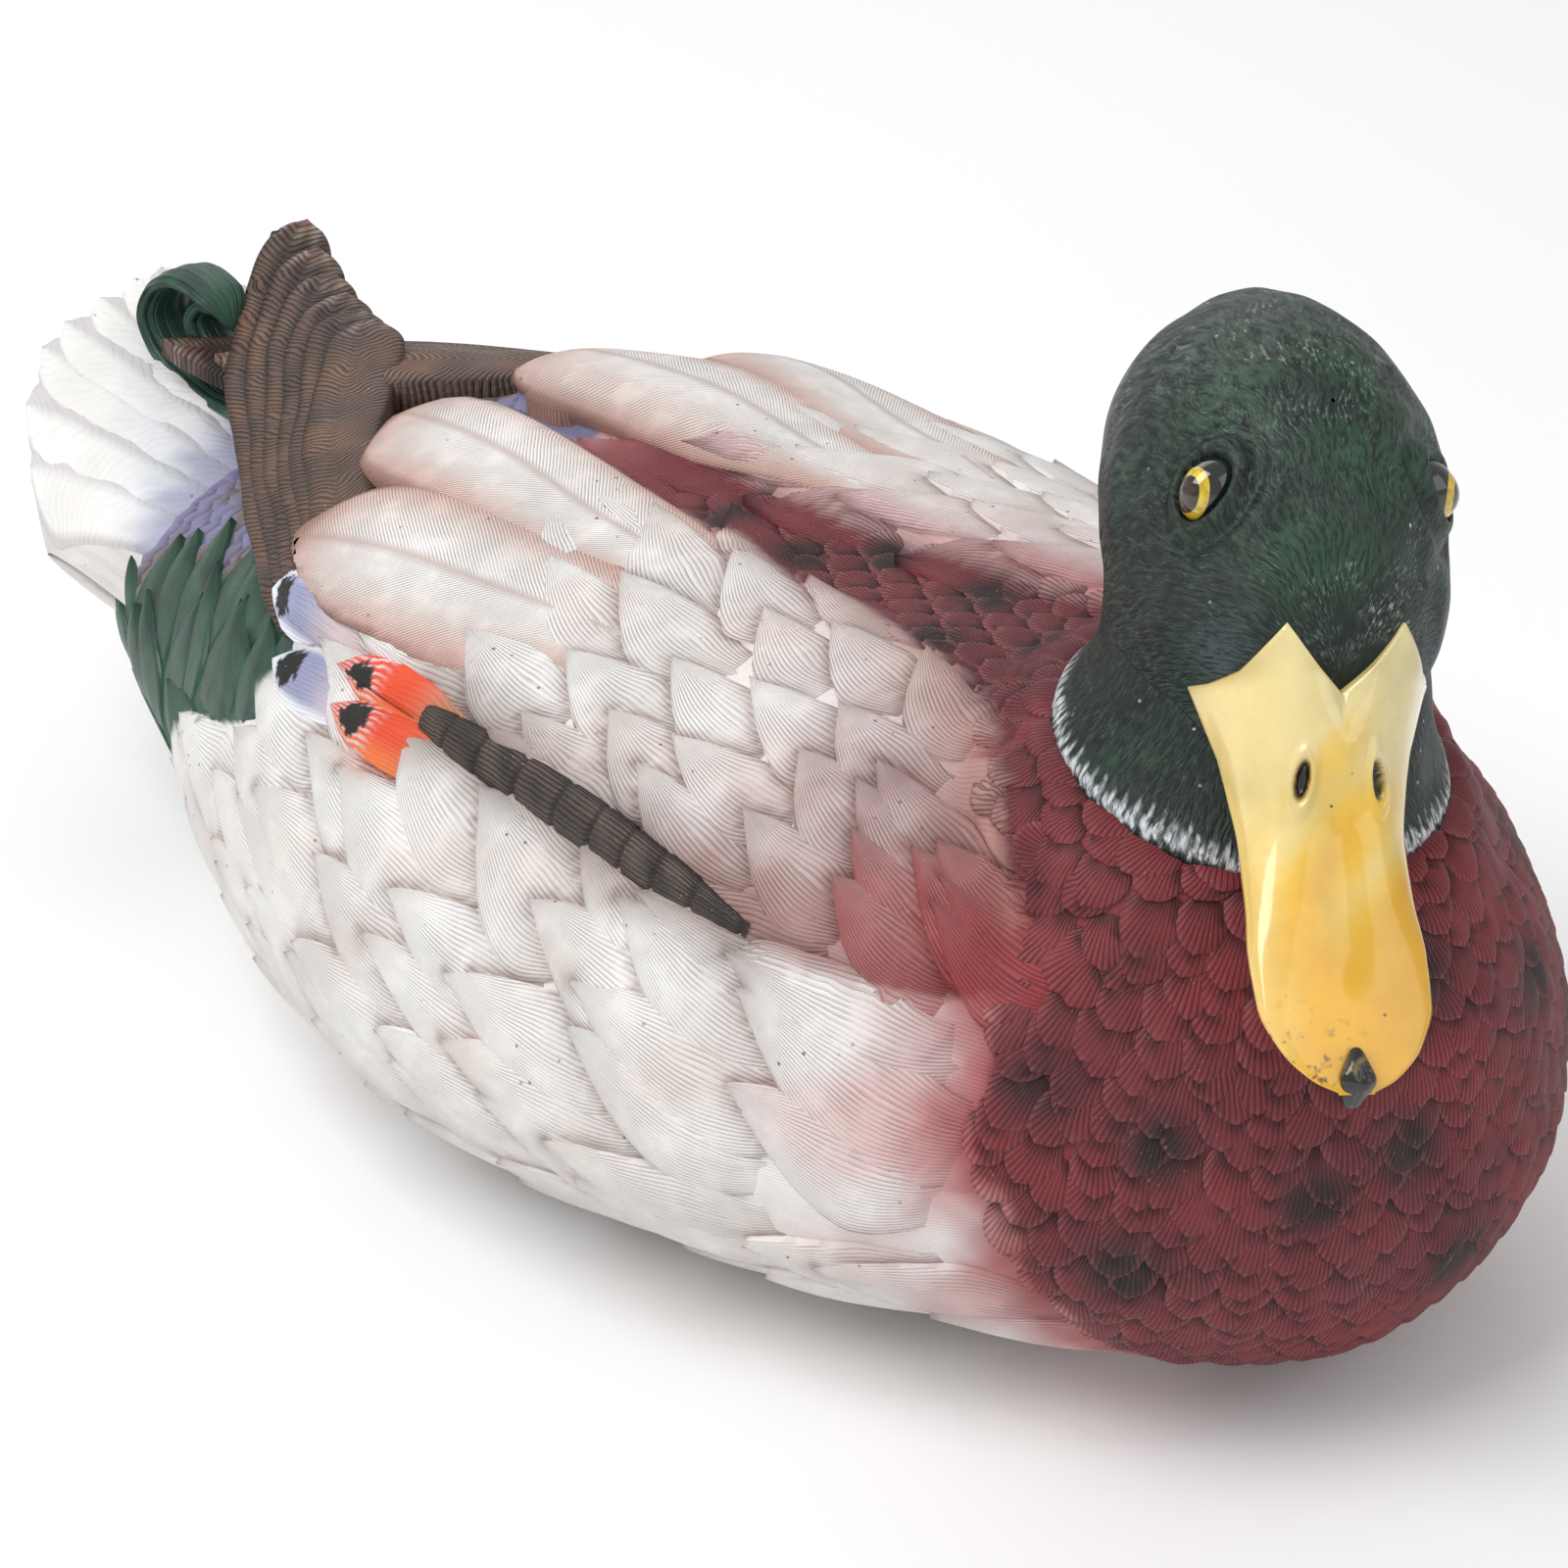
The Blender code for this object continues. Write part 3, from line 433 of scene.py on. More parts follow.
def body_points(y, angle):
    """Points on the smooth body, by angle in degrees: 0 on the back, 180 at the keel, right below zero."""
    y, angle = np.broadcast_arrays(np.asarray(y, float), np.radians(np.asarray(angle, float)))
    station = station_at(y)
    width, top, bottom = (through(v, station) for v in (HALF_WIDTH, TOP_Z, BOTTOM_Z))
    middle, power = through(WIDEST_Z, station), through(BOXINESS, station)
    cosine = np.abs(np.cos(angle))
    x = width * np.sign(np.sin(angle)) * np.abs(np.sin(angle)) ** power
    above = middle + (top - middle) * cosine ** through(SHOULDER, station)
    below = middle - (middle - bottom) * cosine**power
    z = np.where(np.cos(angle) > 0, above, below)
    points = xyz(x, y, z)
    offset = points - np.array(NECK_CENTRE)
    radius = np.hypot(offset[..., 0], offset @ NECK_BACK)
    pull = (1 - ease(NECK_RADIUS, NECK_RADIUS + NECK_BLEND, radius)) * ease(60, 85, z)
    pull = np.where(np.cos(angle) > 0, pull, 0.0)
    return points - NECK_AXIS * ((offset @ NECK_AXIS + 0.1) * pull)[..., None]


def wing_share(y, angle):
    """Place across the wing: 0 at its inner edge, 1 at its outer edge."""
    inner, outer = -through(WING_INNER, y, WING_Y), -through(WING_OUTER, y, WING_Y)
    return (np.abs(angle) - inner) / (outer - inner)


def breast_edge(angle):
    """Where the maroon breast ends, as y, by the angle round the body."""
    edge_y = [-102, -127, -130, -134, -140, -148, -150]
    return through(edge_y, np.abs(angle), [20, 38, 55, 73, 93, 130, 180])


def rump_edge(angle):
    """Where the white flank ends at the rear, as y, by the angle round the body."""
    return through([40, 40, 46, 72, 80, 87, 100, 110], np.abs(angle), [0, 56, 65, 76, 85, 93, 120, 180])


def green_top(y):
    """The angle at which the green of the rump begins, by y."""
    return through([46, 48, 52, 64, 76, 90], y, [40, 71, 90, 107, 116, 140])


def relief(points, y, angle):
    """How far the carved surface stands off the smooth body."""
    share = wing_share(y, angle)
    edge = ease(-0.05, 0.07, share) * (1 - ease(0.90, 1.08, share))
    height = through(WING_HEIGHT, y, WING_Y) * edge
    height = height * ease(WING_Y[0], WING_Y[1], y)
    gap = y - breast_edge(angle)
    puff = ease(3, -5, gap) * ease(-60, -8, gap) * ease(28, 45, np.abs(angle))
    slim = 1.6 * ease(-120, -165, y) * ease(40, 55, points[..., 2])
    return height + 1.6 * puff - slim + 0.5 * waves(points, 46, 3)


def carved_body():
    """(points, y, angle) of the whole skin as one grid that ends just above the floor."""
    t = np.linspace(0, 1, 420)
    y = NOSE_Y + 0.02 + (STATION_Y[-1] - NOSE_Y - 0.06) * (t - 0.08 * np.sin(2 * math.pi * t))
    station = station_at(y)
    middle, bottom = through(WIDEST_Z, station), through(BOTTOM_Z, station)
    depth = np.clip((middle - 1.2) / (middle - bottom), 0, 1)
    limit = np.degrees(np.arccos(-(depth ** (1 / through(BOXINESS, station)))))
    # The skin stays clear of the recess of the anchor-line tab under the keel.
    limit = np.minimum(limit, through([180, 180, 164, 164, 180], y, [-140, -122, -106, -70, -40]))
    angle = np.linspace(-1, 1, 441) * limit[:, None]
    y = np.broadcast_to(y[:, None], angle.shape)
    points = body_points(y, angle)
    across = unit(np.gradient(points, axis=1))
    along = unit(np.gradient(points, axis=0))
    normal = unit(np.cross(across, along))
    outward = np.sum(normal * (points - [0, 0, 55]) * [1, 0.3, 1], axis=-1)
    normal = normal * np.sign(outward)[..., None]
    lift = relief(points, y, angle) + 0.45
    near_neck = np.linalg.norm(points - np.array(NECK_CENTRE), axis=-1)
    lift = lift * ease(NECK_RADIUS + 1, NECK_RADIUS + 7, near_neck)
    return points + normal * lift[..., None], y, angle


# ------------------------------------------------------------------------------------------------ painting


def near(points, centre, radius):
    """1 at centre, falling to 0 about radius away."""
    return np.exp(-np.sum((points - np.array(centre)) ** 2, axis=-1) / (0.42 * radius**2))


BREAST_SPOTS = [
    (-48, -149, 97), (-64, -143, 78), (-52, -160, 69), (-56, -157, 46), (-15, -182, 63), (-32, -177, 58),
    (-2, -183, 36), (-9, -177, 92), (24, -176, 78), (40, -168, 55), (52, -152, 84), (60, -146, 56),
    (14, -172, 26),
]
RED_FEATHERS = [((62, -97, 96), 11), ((55, -114, 94), 12), ((43, -106, 106), 8)]
MANTLE_SPOTS = [(-2, -5, 108), (-2, -24, 108), (8, -36, 109), (8, -61, 110), (-10, -66, 110), (0, -84, 111)]


def paint_body(points, y, angle):
    """The painted colour at points of the skin or of the feathers on it."""
    side = np.abs(angle)
    wobble = waves(points, 16, 5) * 2.2 + waves(points, 6, 6) * 0.9
    cloud = waves(points, 24, 12)
    colour = mix(WHITE, WARM_WHITE, np.clip(0.25 + 0.5 * cloud, 0, 0.7))
    share = wing_share(y, angle)
    on_wing = ease(-0.05, 0.06, share) * (1 - ease(0.98, 1.06, share)) * (y < WING_Y[-1])

    # Flank: warm shadow under the ridge, then pink and red towards the breast.
    under_ridge = bump(share, 1.02, 0.15) * ease(14, -4, y) * ease(-100, -84, y)
    colour = mix(colour, srgb(128, 98, 86), 0.8 * under_ridge)
    gap = y - breast_edge(angle) + wobble
    low = ease(34, 52, side)
    colour = mix(colour, PINK, 0.55 * ease(44, 8, gap) * low * ease(-0.6, 0.8, cloud + 0.4))
    colour = mix(colour, RED, 0.85 * ease(16, 1, gap) * low)

    # Wing: maroon shoulder, red patches at the front, brown-pink along the inner edge.
    shoulder = ease(-58, -112, y - 10 * share + 2 * wobble) * on_wing
    colour = mix(colour, srgb(150, 96, 94), 0.8 * shoulder)
    colour = mix(colour, MAROON, 0.8 * ease(-96, -122, y + 6 * share + wobble) * on_wing)
    inner_edge = ease(0.14, 0.0, share) * on_wing
    tint = np.where((angle > 0)[..., None], srgb(176, 88, 92), srgb(178, 132, 124))
    colour = mix(colour, tint, 0.7 * inner_edge * ease(60, 20, y))
    colour = mix(colour, tint, 0.5 * ease(0.45, 0.0, share) * on_wing * ease(-10, -70, y))

    # Mantle in maroon between the wings.
    mantle = ease(0.05, -0.03, share) * ease(58, 30, y + wobble) * (side < 60)
    mantle_colour = mix(srgb(122, 52, 58), DARK_MAROON, 0.45 * ease(-60, -105, y))
    mantle_colour = mix(mantle_colour, PINK, 0.8 * ease(15, 50, y))
    colour = mix(colour, mantle_colour, mantle)
    for centre in MANTLE_SPOTS:
        colour = mix(colour, SPOT, np.clip(near(points, centre, 8.5) * 1.4, 0, 1) * mantle)

    # Breast.
    breast = ease(2, -2, gap)
    breast = np.maximum(breast, ease(-98, -104, y) * (side < 22))
    red = mix(MAROON, srgb(140, 52, 58), np.clip(0.3 + 0.5 * waves(points, 30, 8), 0, 0.8))
    colour = mix(colour, red, breast)
    for centre in BREAST_SPOTS:
        colour = mix(colour, SPOT, np.clip(near(points, centre, 10.5) * 1.35, 0, 1) * breast)

    # Rump: purple and brown above, green on the side.
    rear = ease(-1, 1, y - rump_edge(angle))
    rump = mix(PURPLE, RUMP_BROWN, np.clip(0.35 + 0.9 * waves(points, 22, 11), 0, 1))
    rump = mix(rump, srgb(206, 208, 222), 0.6 * ease(120, 140, y))
    rump = mix(rump, TUFT_GREEN, ease(-1, 2, side - green_top(y)))
    colour = mix(colour, rump, rear)
    glow = near(points, (-77, 4, 84), 9) + near(points, (77, 4, 84), 9)
    colour = mix(colour, ORANGE, 0.6 * np.clip(glow, 0, 1))
    return colour


def overlap_shade(grids, reach=1.2):
    """How near each point is to the edge of another feather that lies over it, from 0 to 1: how strong the
    painted shade is there.
    """
    places, height = grids.places, grids.height
    count, rows, columns = height.shape
    rim = np.zeros((rows, columns), bool)
    rim[-2, 1:-1] = True
    rim[rows // 4 : -1, 1] = True
    rim[rows // 4 : -1, -2] = True
    owner = np.broadcast_to(np.arange(count)[:, None, None], height.shape)
    rim_place = places[:, rim].reshape(-1, 3)
    rim_height, rim_owner = height[:, rim].ravel(), owner[:, rim].ravel()
    tree = KDTree(len(rim_place))
    for i, place in enumerate(rim_place.tolist()):
        tree.insert(place, i)
    tree.balance()
    far = np.full(height.size, 99.0)
    everywhere = zip(places.reshape(-1, 3).tolist(), owner.ravel(), height.ravel())
    for i, (place, mine, up) in enumerate(everywhere):
        for _, j, distance in tree.find_n(place, 9):
            if rim_owner[j] != mine and rim_height[j] > up + 0.05:
                far[i] = distance
                break
    far = far.reshape(height.shape)
    return np.clip(0.75 * np.exp(-((far / reach) ** 2)) + 0.42 * np.exp(-far / (2.6 * reach)), 0, 1)


def rim_of(grids, start=0.8):
    """1 along a feather's outer edge, 0 inside it."""
    return np.clip(ease(start, 1.0, np.abs(grids.across)) + ease(start + 0.08, 1.0, grids.along), 0, 1)


# ------------------------------------------------------------------------------------------------ feathers


class Skin:
    """The carved body, which feathers are laid on."""

    def __init__(self, points, y, angle):
        rows, columns = points.shape[:2]
        self.points, self.y, self.angle = points.reshape(-1, 3), y.ravel(), angle.ravel()
        index = np.arange(rows * columns).reshape(rows, columns)
        quads = [index[:-1, :-1], index[:-1, 1:], index[1:, 1:], index[1:, :-1]]
        self.quads = np.stack(quads, axis=-1).reshape(-1, 4)
        self.tree = BVHTree.FromPolygons(self.points.tolist(), self.quads.tolist())

    def nearest(self, points):
        """(points on the skin, outward normals, y, angle) nearest to points."""
        flat = points.reshape(-1, 3)
        places, normals = np.empty_like(flat), np.empty_like(flat)
        corner = np.empty(len(flat), int)
        for i, point in enumerate(flat):
            place, normal, face, _ = self.tree.find_nearest(Vector(point))
            places[i], normals[i], corner[i] = place, normal, self.quads[face][0]
        outward = np.sign(np.sum(normals * (places - [0, 0, 50]) * [1, 0.4, 1], axis=-1))
        normals = normals * np.where(outward == 0, 1, outward)[:, None]
        shape = points.shape[:-1]
        return (
            places.reshape(points.shape), normals.reshape(points.shape),
            self.y[corner].reshape(shape), self.angle[corner].reshape(shape),
        )

    def hit(self, start, direction):
        place = self.tree.ray_cast(Vector(start), Vector(direction))[0]
        return None if place is None else np.array(place)


def outline(along, point, shoulder=0.52):
    """Half width of a feather from root to tip, from 0 to 1: point 0 is round, 1 a leaf's tip."""
    rounded = np.sqrt(np.clip(1 - np.clip((along - shoulder) / (1 - shoulder), 0, 1) ** 2.2, 0, 1))
    leaf = np.clip(1 - np.clip((along - 0.40) / 0.60, 0, 1) ** 1.35, 0, 1)
    root = 0.62 + 0.38 * ease(0, 0.4, along)
    return np.maximum((rounded * (1 - point) + leaf * point) * root, 0.012)


def lay_feathers(skin, seeds, headings, length, width, rise, point=0.9, skirt=1.2, rows=15, columns=11,
                 lift=0.1, bend=0.0, comb="flame", spacing=0.85, shoulder=0.52):
    """Feathers on the skin. Each lies from its seed along its heading, which may be one per feather.

    Returns grids, each shaped (feathers, rows, columns): points, places on the skin, height, along and more.
    """
    count = len(seeds)
    given = (length, width, rise, bend)
    length, width, rise, bend = (np.broadcast_to(np.asarray(v, float), (count,)) for v in given)
    roots, normal, _, _ = skin.nearest(np.asarray(seeds, float))
    forward = unit(headings - normal * np.sum(headings * normal, axis=-1, keepdims=True))
    sideways = np.cross(normal, forward)
    along = np.concatenate([np.linspace(0, 1, rows - 1) ** 0.9, [1.0]])[None, :, None]
    across = np.concatenate([[-1.0], np.linspace(-1, 1, columns - 2), [1.0]])[None, None, :]
    half = outline(along, point, shoulder) * (width / 2)[:, None, None]
    s = along * length[:, None, None]
    sway = bend[:, None, None] * (1.9 * along**2 - 0.9 * np.sin(math.pi * along) * (1 - along))
    t = across * half + sway
    flat = roots[:, None, None] + forward[:, None, None] * s[..., None]
    flat = flat + sideways[:, None, None] * t[..., None]
    places, up, y, angle = skin.nearest(flat)
    along, across = np.broadcast_arrays(along, across)
    along = np.broadcast_to(along, t.shape)
    across = np.broadcast_to(across, t.shape)
    crown = 1 - 0.45 * np.abs(across) ** 2.2
    height = lift + rise[:, None, None] * ease(-0.15, 0.95, along) * crown
    height = height + 0.10 * rise[:, None, None] * bump(across, 0, 0.09) * (1 - along)
    height = height - 0.5 * ease(0.12, 0.0, along)
    points = places + up * (height - skirt * tucked(t.shape))[..., None]
    if comb == "flame":
        phase = across * (width / 2)[:, None, None] / spacing
        phase = phase + 1.3 * np.sin(along * 5.0) * across * np.sign(across + 0.2)
    elif comb == "vane":
        phase = (s - 1.15 * np.abs(t - sway)) / spacing
    else:
        phase = np.arctan2(t, s + 0.35 * length[:, None, None]) * (0.9 * length[:, None, None]) / spacing
    phase = phase + rng.uniform(0, 5, count)[:, None, None]
    return SimpleNamespace(points=points, places=places, height=height, along=along, across=across, y=y,
                           angle=angle, comb=phase)


def rows_on_wing(side, y_low, y_high, step_y, share_low, share_high, step_share, jitter=0.2):
    """Staggered seeds between two places across the wing."""
    seeds = []
    for k, y in enumerate(np.arange(y_low, y_high, step_y)):
        offset = (k % 2) * step_share / 2
        for share in np.arange(share_low + offset, share_high, step_share):
            y_here = y + step_y * rng.uniform(-jitter, jitter)
            inner, outer = -through(WING_INNER, y_here, WING_Y), -through(WING_OUTER, y_here, WING_Y)
            seeds.append((y_here, side * (inner + (outer - inner) * share)))
    return np.array(seeds)


def rows_round_body(sides, y_low, y_high, step_y, arc_low, arc_high, step_mm, jitter=0.2):
    """Staggered seeds between two angles round the body, step_mm apart."""
    seeds = []
    for k, y in enumerate(np.arange(y_low, y_high, step_y)):
        width = float(through(HALF_WIDTH, station_at(y)))
        step = math.degrees(step_mm / max(width, 20) * 1.05)
        for angle in np.arange(arc_low + (k % 2) * step / 2, arc_high, step):
            for side in sides:
                y_here = y + step_y * rng.uniform(-jitter, jitter)
                seeds.append((y_here, side * (angle + step * rng.uniform(-jitter, jitter))))
    return np.array(seeds)


BACKWARDS = np.array([0.0, 1.0, 0.0])


def feather_piece(name, look, grids, colour, groove, replaces=()):
    """One piece of feathers laid on the skin, which rides on the shell."""
    values = {"paint": colour, "comb": grids.comb, "groove": groove}
    return grid_piece(name, grids.points, look, "shell", values, replaces=replaces)


def paint_at(grids, valley, depth=0.9):
    """The body's paint on feathers, with painted shade where they pass under their neighbours."""
    colour = paint_body(grids.points, grids.y, grids.angle)
    return mix(colour, colour * valley, depth * overlap_shade(grids))


def flank_feathers(skin, look):
    """Broad flame-shaped feathers on the sides, flatter towards the rear and the keel."""
    seeds = rows_round_body((-1, 1), -152, 92, 23, 40, 152, 18)
    side = np.abs(seeds[:, 1])
    keep = (seeds[:, 0] > breast_edge(seeds[:, 1]) - 10) & (seeds[:, 0] < rump_edge(seeds[:, 1]) - 22)
    keep &= (wing_share(seeds[:, 0], seeds[:, 1]) > 1.0) | (side > 52)
    seeds = seeds[keep]
    places = body_points(seeds[:, 0], seeds[:, 1])
    seeds, places = seeds[places[:, 2] > 4], places[places[:, 2] > 4]
    rise = 0.10 - 0.002 * places[:, 2]
    headings = BACKWARDS + xyz(0, 0, rise)
    soft = 1 - 0.75 * ease(-60, 40, seeds[:, 0]) * ease(62, 100, np.abs(seeds[:, 1]))
    length = 43 + rng.uniform(-6, 5, len(seeds))
    width = 25 + rng.uniform(-4, 4, len(seeds))
    bend = np.sign(seeds[:, 1]) * 5.0
    headings = headings + rng.normal(0, 0.09, headings.shape)
    grids = lay_feathers(skin, places, headings, length, width, 3.0 * soft, bend=bend, skirt=2.6, rows=23,
                         columns=15, spacing=0.95)
    colour = paint_at(grids, VALLEY_SHADE, (0.25 + 0.6 * soft)[:, None, None])
    groove = (0.30 + 0.60 * soft)[:, None, None]
    feather_piece("flank_feathers", look, grids, colour, groove)


def wing_feathers(skin, look, side, name, replaces):
    """The smaller feathers on a wing, some of them brushed red at its front."""
    seeds = rows_on_wing(side, -136, 16, 17, 0.02, 1.0, 0.25)
    places = body_points(seeds[:, 0], seeds[:, 1])
    share = wing_share(seeds[:, 0], seeds[:, 1])
    lean = side * (0.16 * (share - 0.6))
    headings = xyz(lean, 1, 0)
    headings = headings + rng.normal(0, 0.07, headings.shape)
    length = 31 + 9 * ease(-90, 20, seeds[:, 0]) + rng.uniform(-4, 4, len(seeds))
    width = 17.5 + 4 * ease(-100, 0, seeds[:, 0]) + rng.uniform(-2, 2, len(seeds))
    grids = lay_feathers(skin, places, headings, length, width, 2.5, bend=side * 3.6, skirt=2.2, rows=21,
                         columns=15, spacing=0.95)
    colour = paint_at(grids, VALLEY_SHADE, 0.9)
    middles = grids.points[:, 14, 7]
    reds = sum(near(middles, (side * x, y, z), size) for (x, y, z), size in RED_FEATHERS)
    half = 0.45 + 0.55 * ease(-0.8, 0.8, grids.across * -side)
    reds = np.clip(1.3 * reds, 0, 0.9)[:, None, None] * half
    colour = mix(colour, srgb(160, 52, 56), reds)
    feather_piece(name, look, grids, colour, 1.0, replaces)


def tertials(skin, look, side, name):
    """The two big rounded feathers that end each wing, with a quill line and a brown-pink rim."""
    seeds = np.array([(-26.0, 24.0), (-18.0, 12.5)])
    places = body_points(seeds[:, 0], side * seeds[:, 1])
    headings = xyz(side * np.array([0.17, -0.05]), 1, 0)
    length, width = (86.0, 95.0), (40.0, 36.0)
    grids = lay_feathers(skin, places, headings, length, width, (4.4, 5.4), point=0.0, skirt=8.0, rows=50,
                         columns=25, lift=0.5, comb="vane", spacing=0.95, shoulder=0.72)
    along, across = grids.along, grids.across
    rim = np.maximum(ease(0.35, 1.0, np.abs(across)), ease(0.66, 1.0, along))
    colour = mix(WARM_WHITE, srgb(196, 150, 138), 0.85 * rim)
    colour = mix(colour, srgb(138, 98, 86), 0.75 * ease(0.8, 1.0, rim) * ease(0.2, 0.7, along))
    white = ease(0.6, 0.15, np.abs(across)) * ease(0.98, 0.6, along)
    colour = mix(colour, WHITE, 0.8 * white)
    quill = bump(across, 0, 0.035) * ease(0.97, 0.9, along)
    colour = mix(colour, srgb(150, 118, 106), 0.6 * quill)
    # Painted shade where the feather passes under its neighbour.
    colour = mix(colour, colour * VALLEY_SHADE, 0.8 * overlap_shade(grids))
    feather_piece(name, look, grids, colour, 1 - quill)


def breast_scales(skin, look):
    """Small overlapping scales that hang from the neck all round the breast."""
    middle = np.array([0.0, -122.0, 58.0])
    seeds, headings = [], []
    for k, polar in enumerate(np.radians(np.arange(20, 165, 4.2))):
        columns = max(int(2 * math.pi * math.sin(polar) * 60 / 7.2), 6)
        for turn in (np.arange(columns) + (k % 2) / 2) * 2 * math.pi / columns:
            level = np.array([math.sin(turn), -math.cos(turn), 0.0])
            upright = np.array([0.0, 0.0, 1.0])
            down = math.cos(polar) * level - math.sin(polar) * upright
            place = skin.hit(middle, math.sin(polar) * level + math.cos(polar) * upright)
            if place is None:
                continue
            seeds.append(place + rng.normal(0, 0.6, 3))
            headings.append(down + BACKWARDS * 0.45 * abs(math.sin(turn)) + rng.normal(0, 0.13, 3))
    seeds, headings = np.array(seeds), np.array(headings)
    _, _, y, angle = skin.nearest(seeds)
    off_neck = np.linalg.norm(seeds - np.array(NECK_CENTRE), axis=-1) > NECK_RADIUS - 7
    keep = (y < breast_edge(angle) - 3) & off_neck & (seeds[:, 2] > 3)
    size = rng.uniform(0.88, 1.15, keep.sum())
    grids = lay_feathers(skin, seeds[keep], headings[keep], 11.5 * size, 9.8 * size, 1.15, point=0.25,
                         skirt=1.1, rows=11, columns=9, comb="fan", spacing=0.75)
    colour = paint_at(grids, DEEP_VALLEY_SHADE, 0.9)
    colour = mix(colour, srgb(158, 88, 92), 0.5 * rim_of(grids))
    feather_piece("breast_scales", look, grids, colour, 1.0)


def mantle_scales(skin, look):
    """Scales on the back between the wings, finer towards the rear."""
    seeds = rows_round_body((1,), -124, 30, 5.4, -42, 42, 6.2, 0.08)
    share = wing_share(seeds[:, 0], seeds[:, 1])
    places = body_points(seeds[:, 0], seeds[:, 1])
    off_neck = np.linalg.norm(places - np.array(NECK_CENTRE), axis=-1) > NECK_RADIUS - 5
    keep = off_neck & (share < 0.03) & (seeds[:, 0] > breast_edge(seeds[:, 1]) - 3)
    seeds, places = seeds[keep], places[keep]
    size = 1 - 0.5 * ease(-60, 20, seeds[:, 0])
    grids = lay_feathers(skin, places, BACKWARDS, 9.6, 8.2, 0.9 * size, point=0.15, skirt=0.9, rows=10,
                         columns=9, comb="fan", spacing=0.7)
    colour = paint_at(grids, DEEP_VALLEY_SHADE, 0.9)
    fade = ease(20, -30, grids.y)
    colour = mix(colour, srgb(170, 108, 108), 0.5 * fade * rim_of(grids, 0.75))
    feather_piece("mantle_scales", look, grids, colour, 0.4 + 0.6 * fade)


def rump_feathers(skin, look):
    """Small wrinkled scales on the rump."""
    seeds = rows_round_body((1,), 58, 142, 5.4, -80, 80, 5.8)
    places = body_points(seeds[:, 0], seeds[:, 1])
    keep = (np.abs(seeds[:, 1]) < green_top(seeds[:, 0]) + 4) & (seeds[:, 0] > rump_edge(seeds[:, 1]))
    places = places[keep]
    headings = BACKWARDS + xyz(0.2 * np.sign(places[:, 0]), 0, 0)
    grids = lay_feathers(skin, places, headings, 9.5, 7.6, 0.55, point=0.5, skirt=0.7, rows=9, columns=7,
                         comb="fan", spacing=1.1)
    # Painted shade, tinted lavender-grey, where a scale passes under its neighbour.
    colour = paint_at(grids, srgb(130, 120, 140), 0.8)
    colour = mix(colour, srgb(160, 158, 184), 0.35 * rim_of(grids, 0.7))
    feather_piece("rump_scales", look, grids, colour, 0.35 * grids.along)


def tufts(skin, look):
    """Green pointed tufts that rise over the rump on each side from the white flank's edge."""
    seeds, headings, length = [], [], []
    for side in (-1, 1):
        for y in np.linspace(36, 116, 9):
            low = float(through([57, 66, 76, 85, 93, 116], y, [32, 46, 72, 80, 87, 112]))
            high = float(green_top(y))
            for level, share in enumerate((0.0, 0.42)):
                angle = low + (high - low) * share + rng.uniform(-1, 1)
                seeds.append(body_points(y + 3 * level, side * angle))
                headings.append((0.0, 0.36 + 0.3 * rng.uniform(-1, 1), 0.85))
                length.append(math.radians(low - high) * 74 * (0.80 - 0.34 * share) + rng.uniform(-2, 7))
    length = np.clip(np.array(length), 12, 40)
    grids = lay_feathers(skin, seeds, np.array(headings), length, 15.0, 2.0, point=0.9, skirt=1.6, rows=19,
                         columns=11, bend=1.5)
    tone = np.clip(0.45 + 0.5 * waves(grids.points, 14, 17) - 0.3 * grids.along, 0, 1)
    colour = mix(TUFT_GREEN, srgb(30, 52, 46), tone)
    # Painted shade, darker green, where a tuft passes under its neighbour.
    colour = mix(colour, colour * 0.35, 0.9 * overlap_shade(grids, 0.9))
    # Painted highlight: lighter yellow-green patches.
    colour = mix(colour, srgb(74, 108, 84), 0.35 * np.clip(waves(grids.points, 6, 18), 0, 1))
    feather_piece("rump_tufts", look, grids, colour, 1.0)


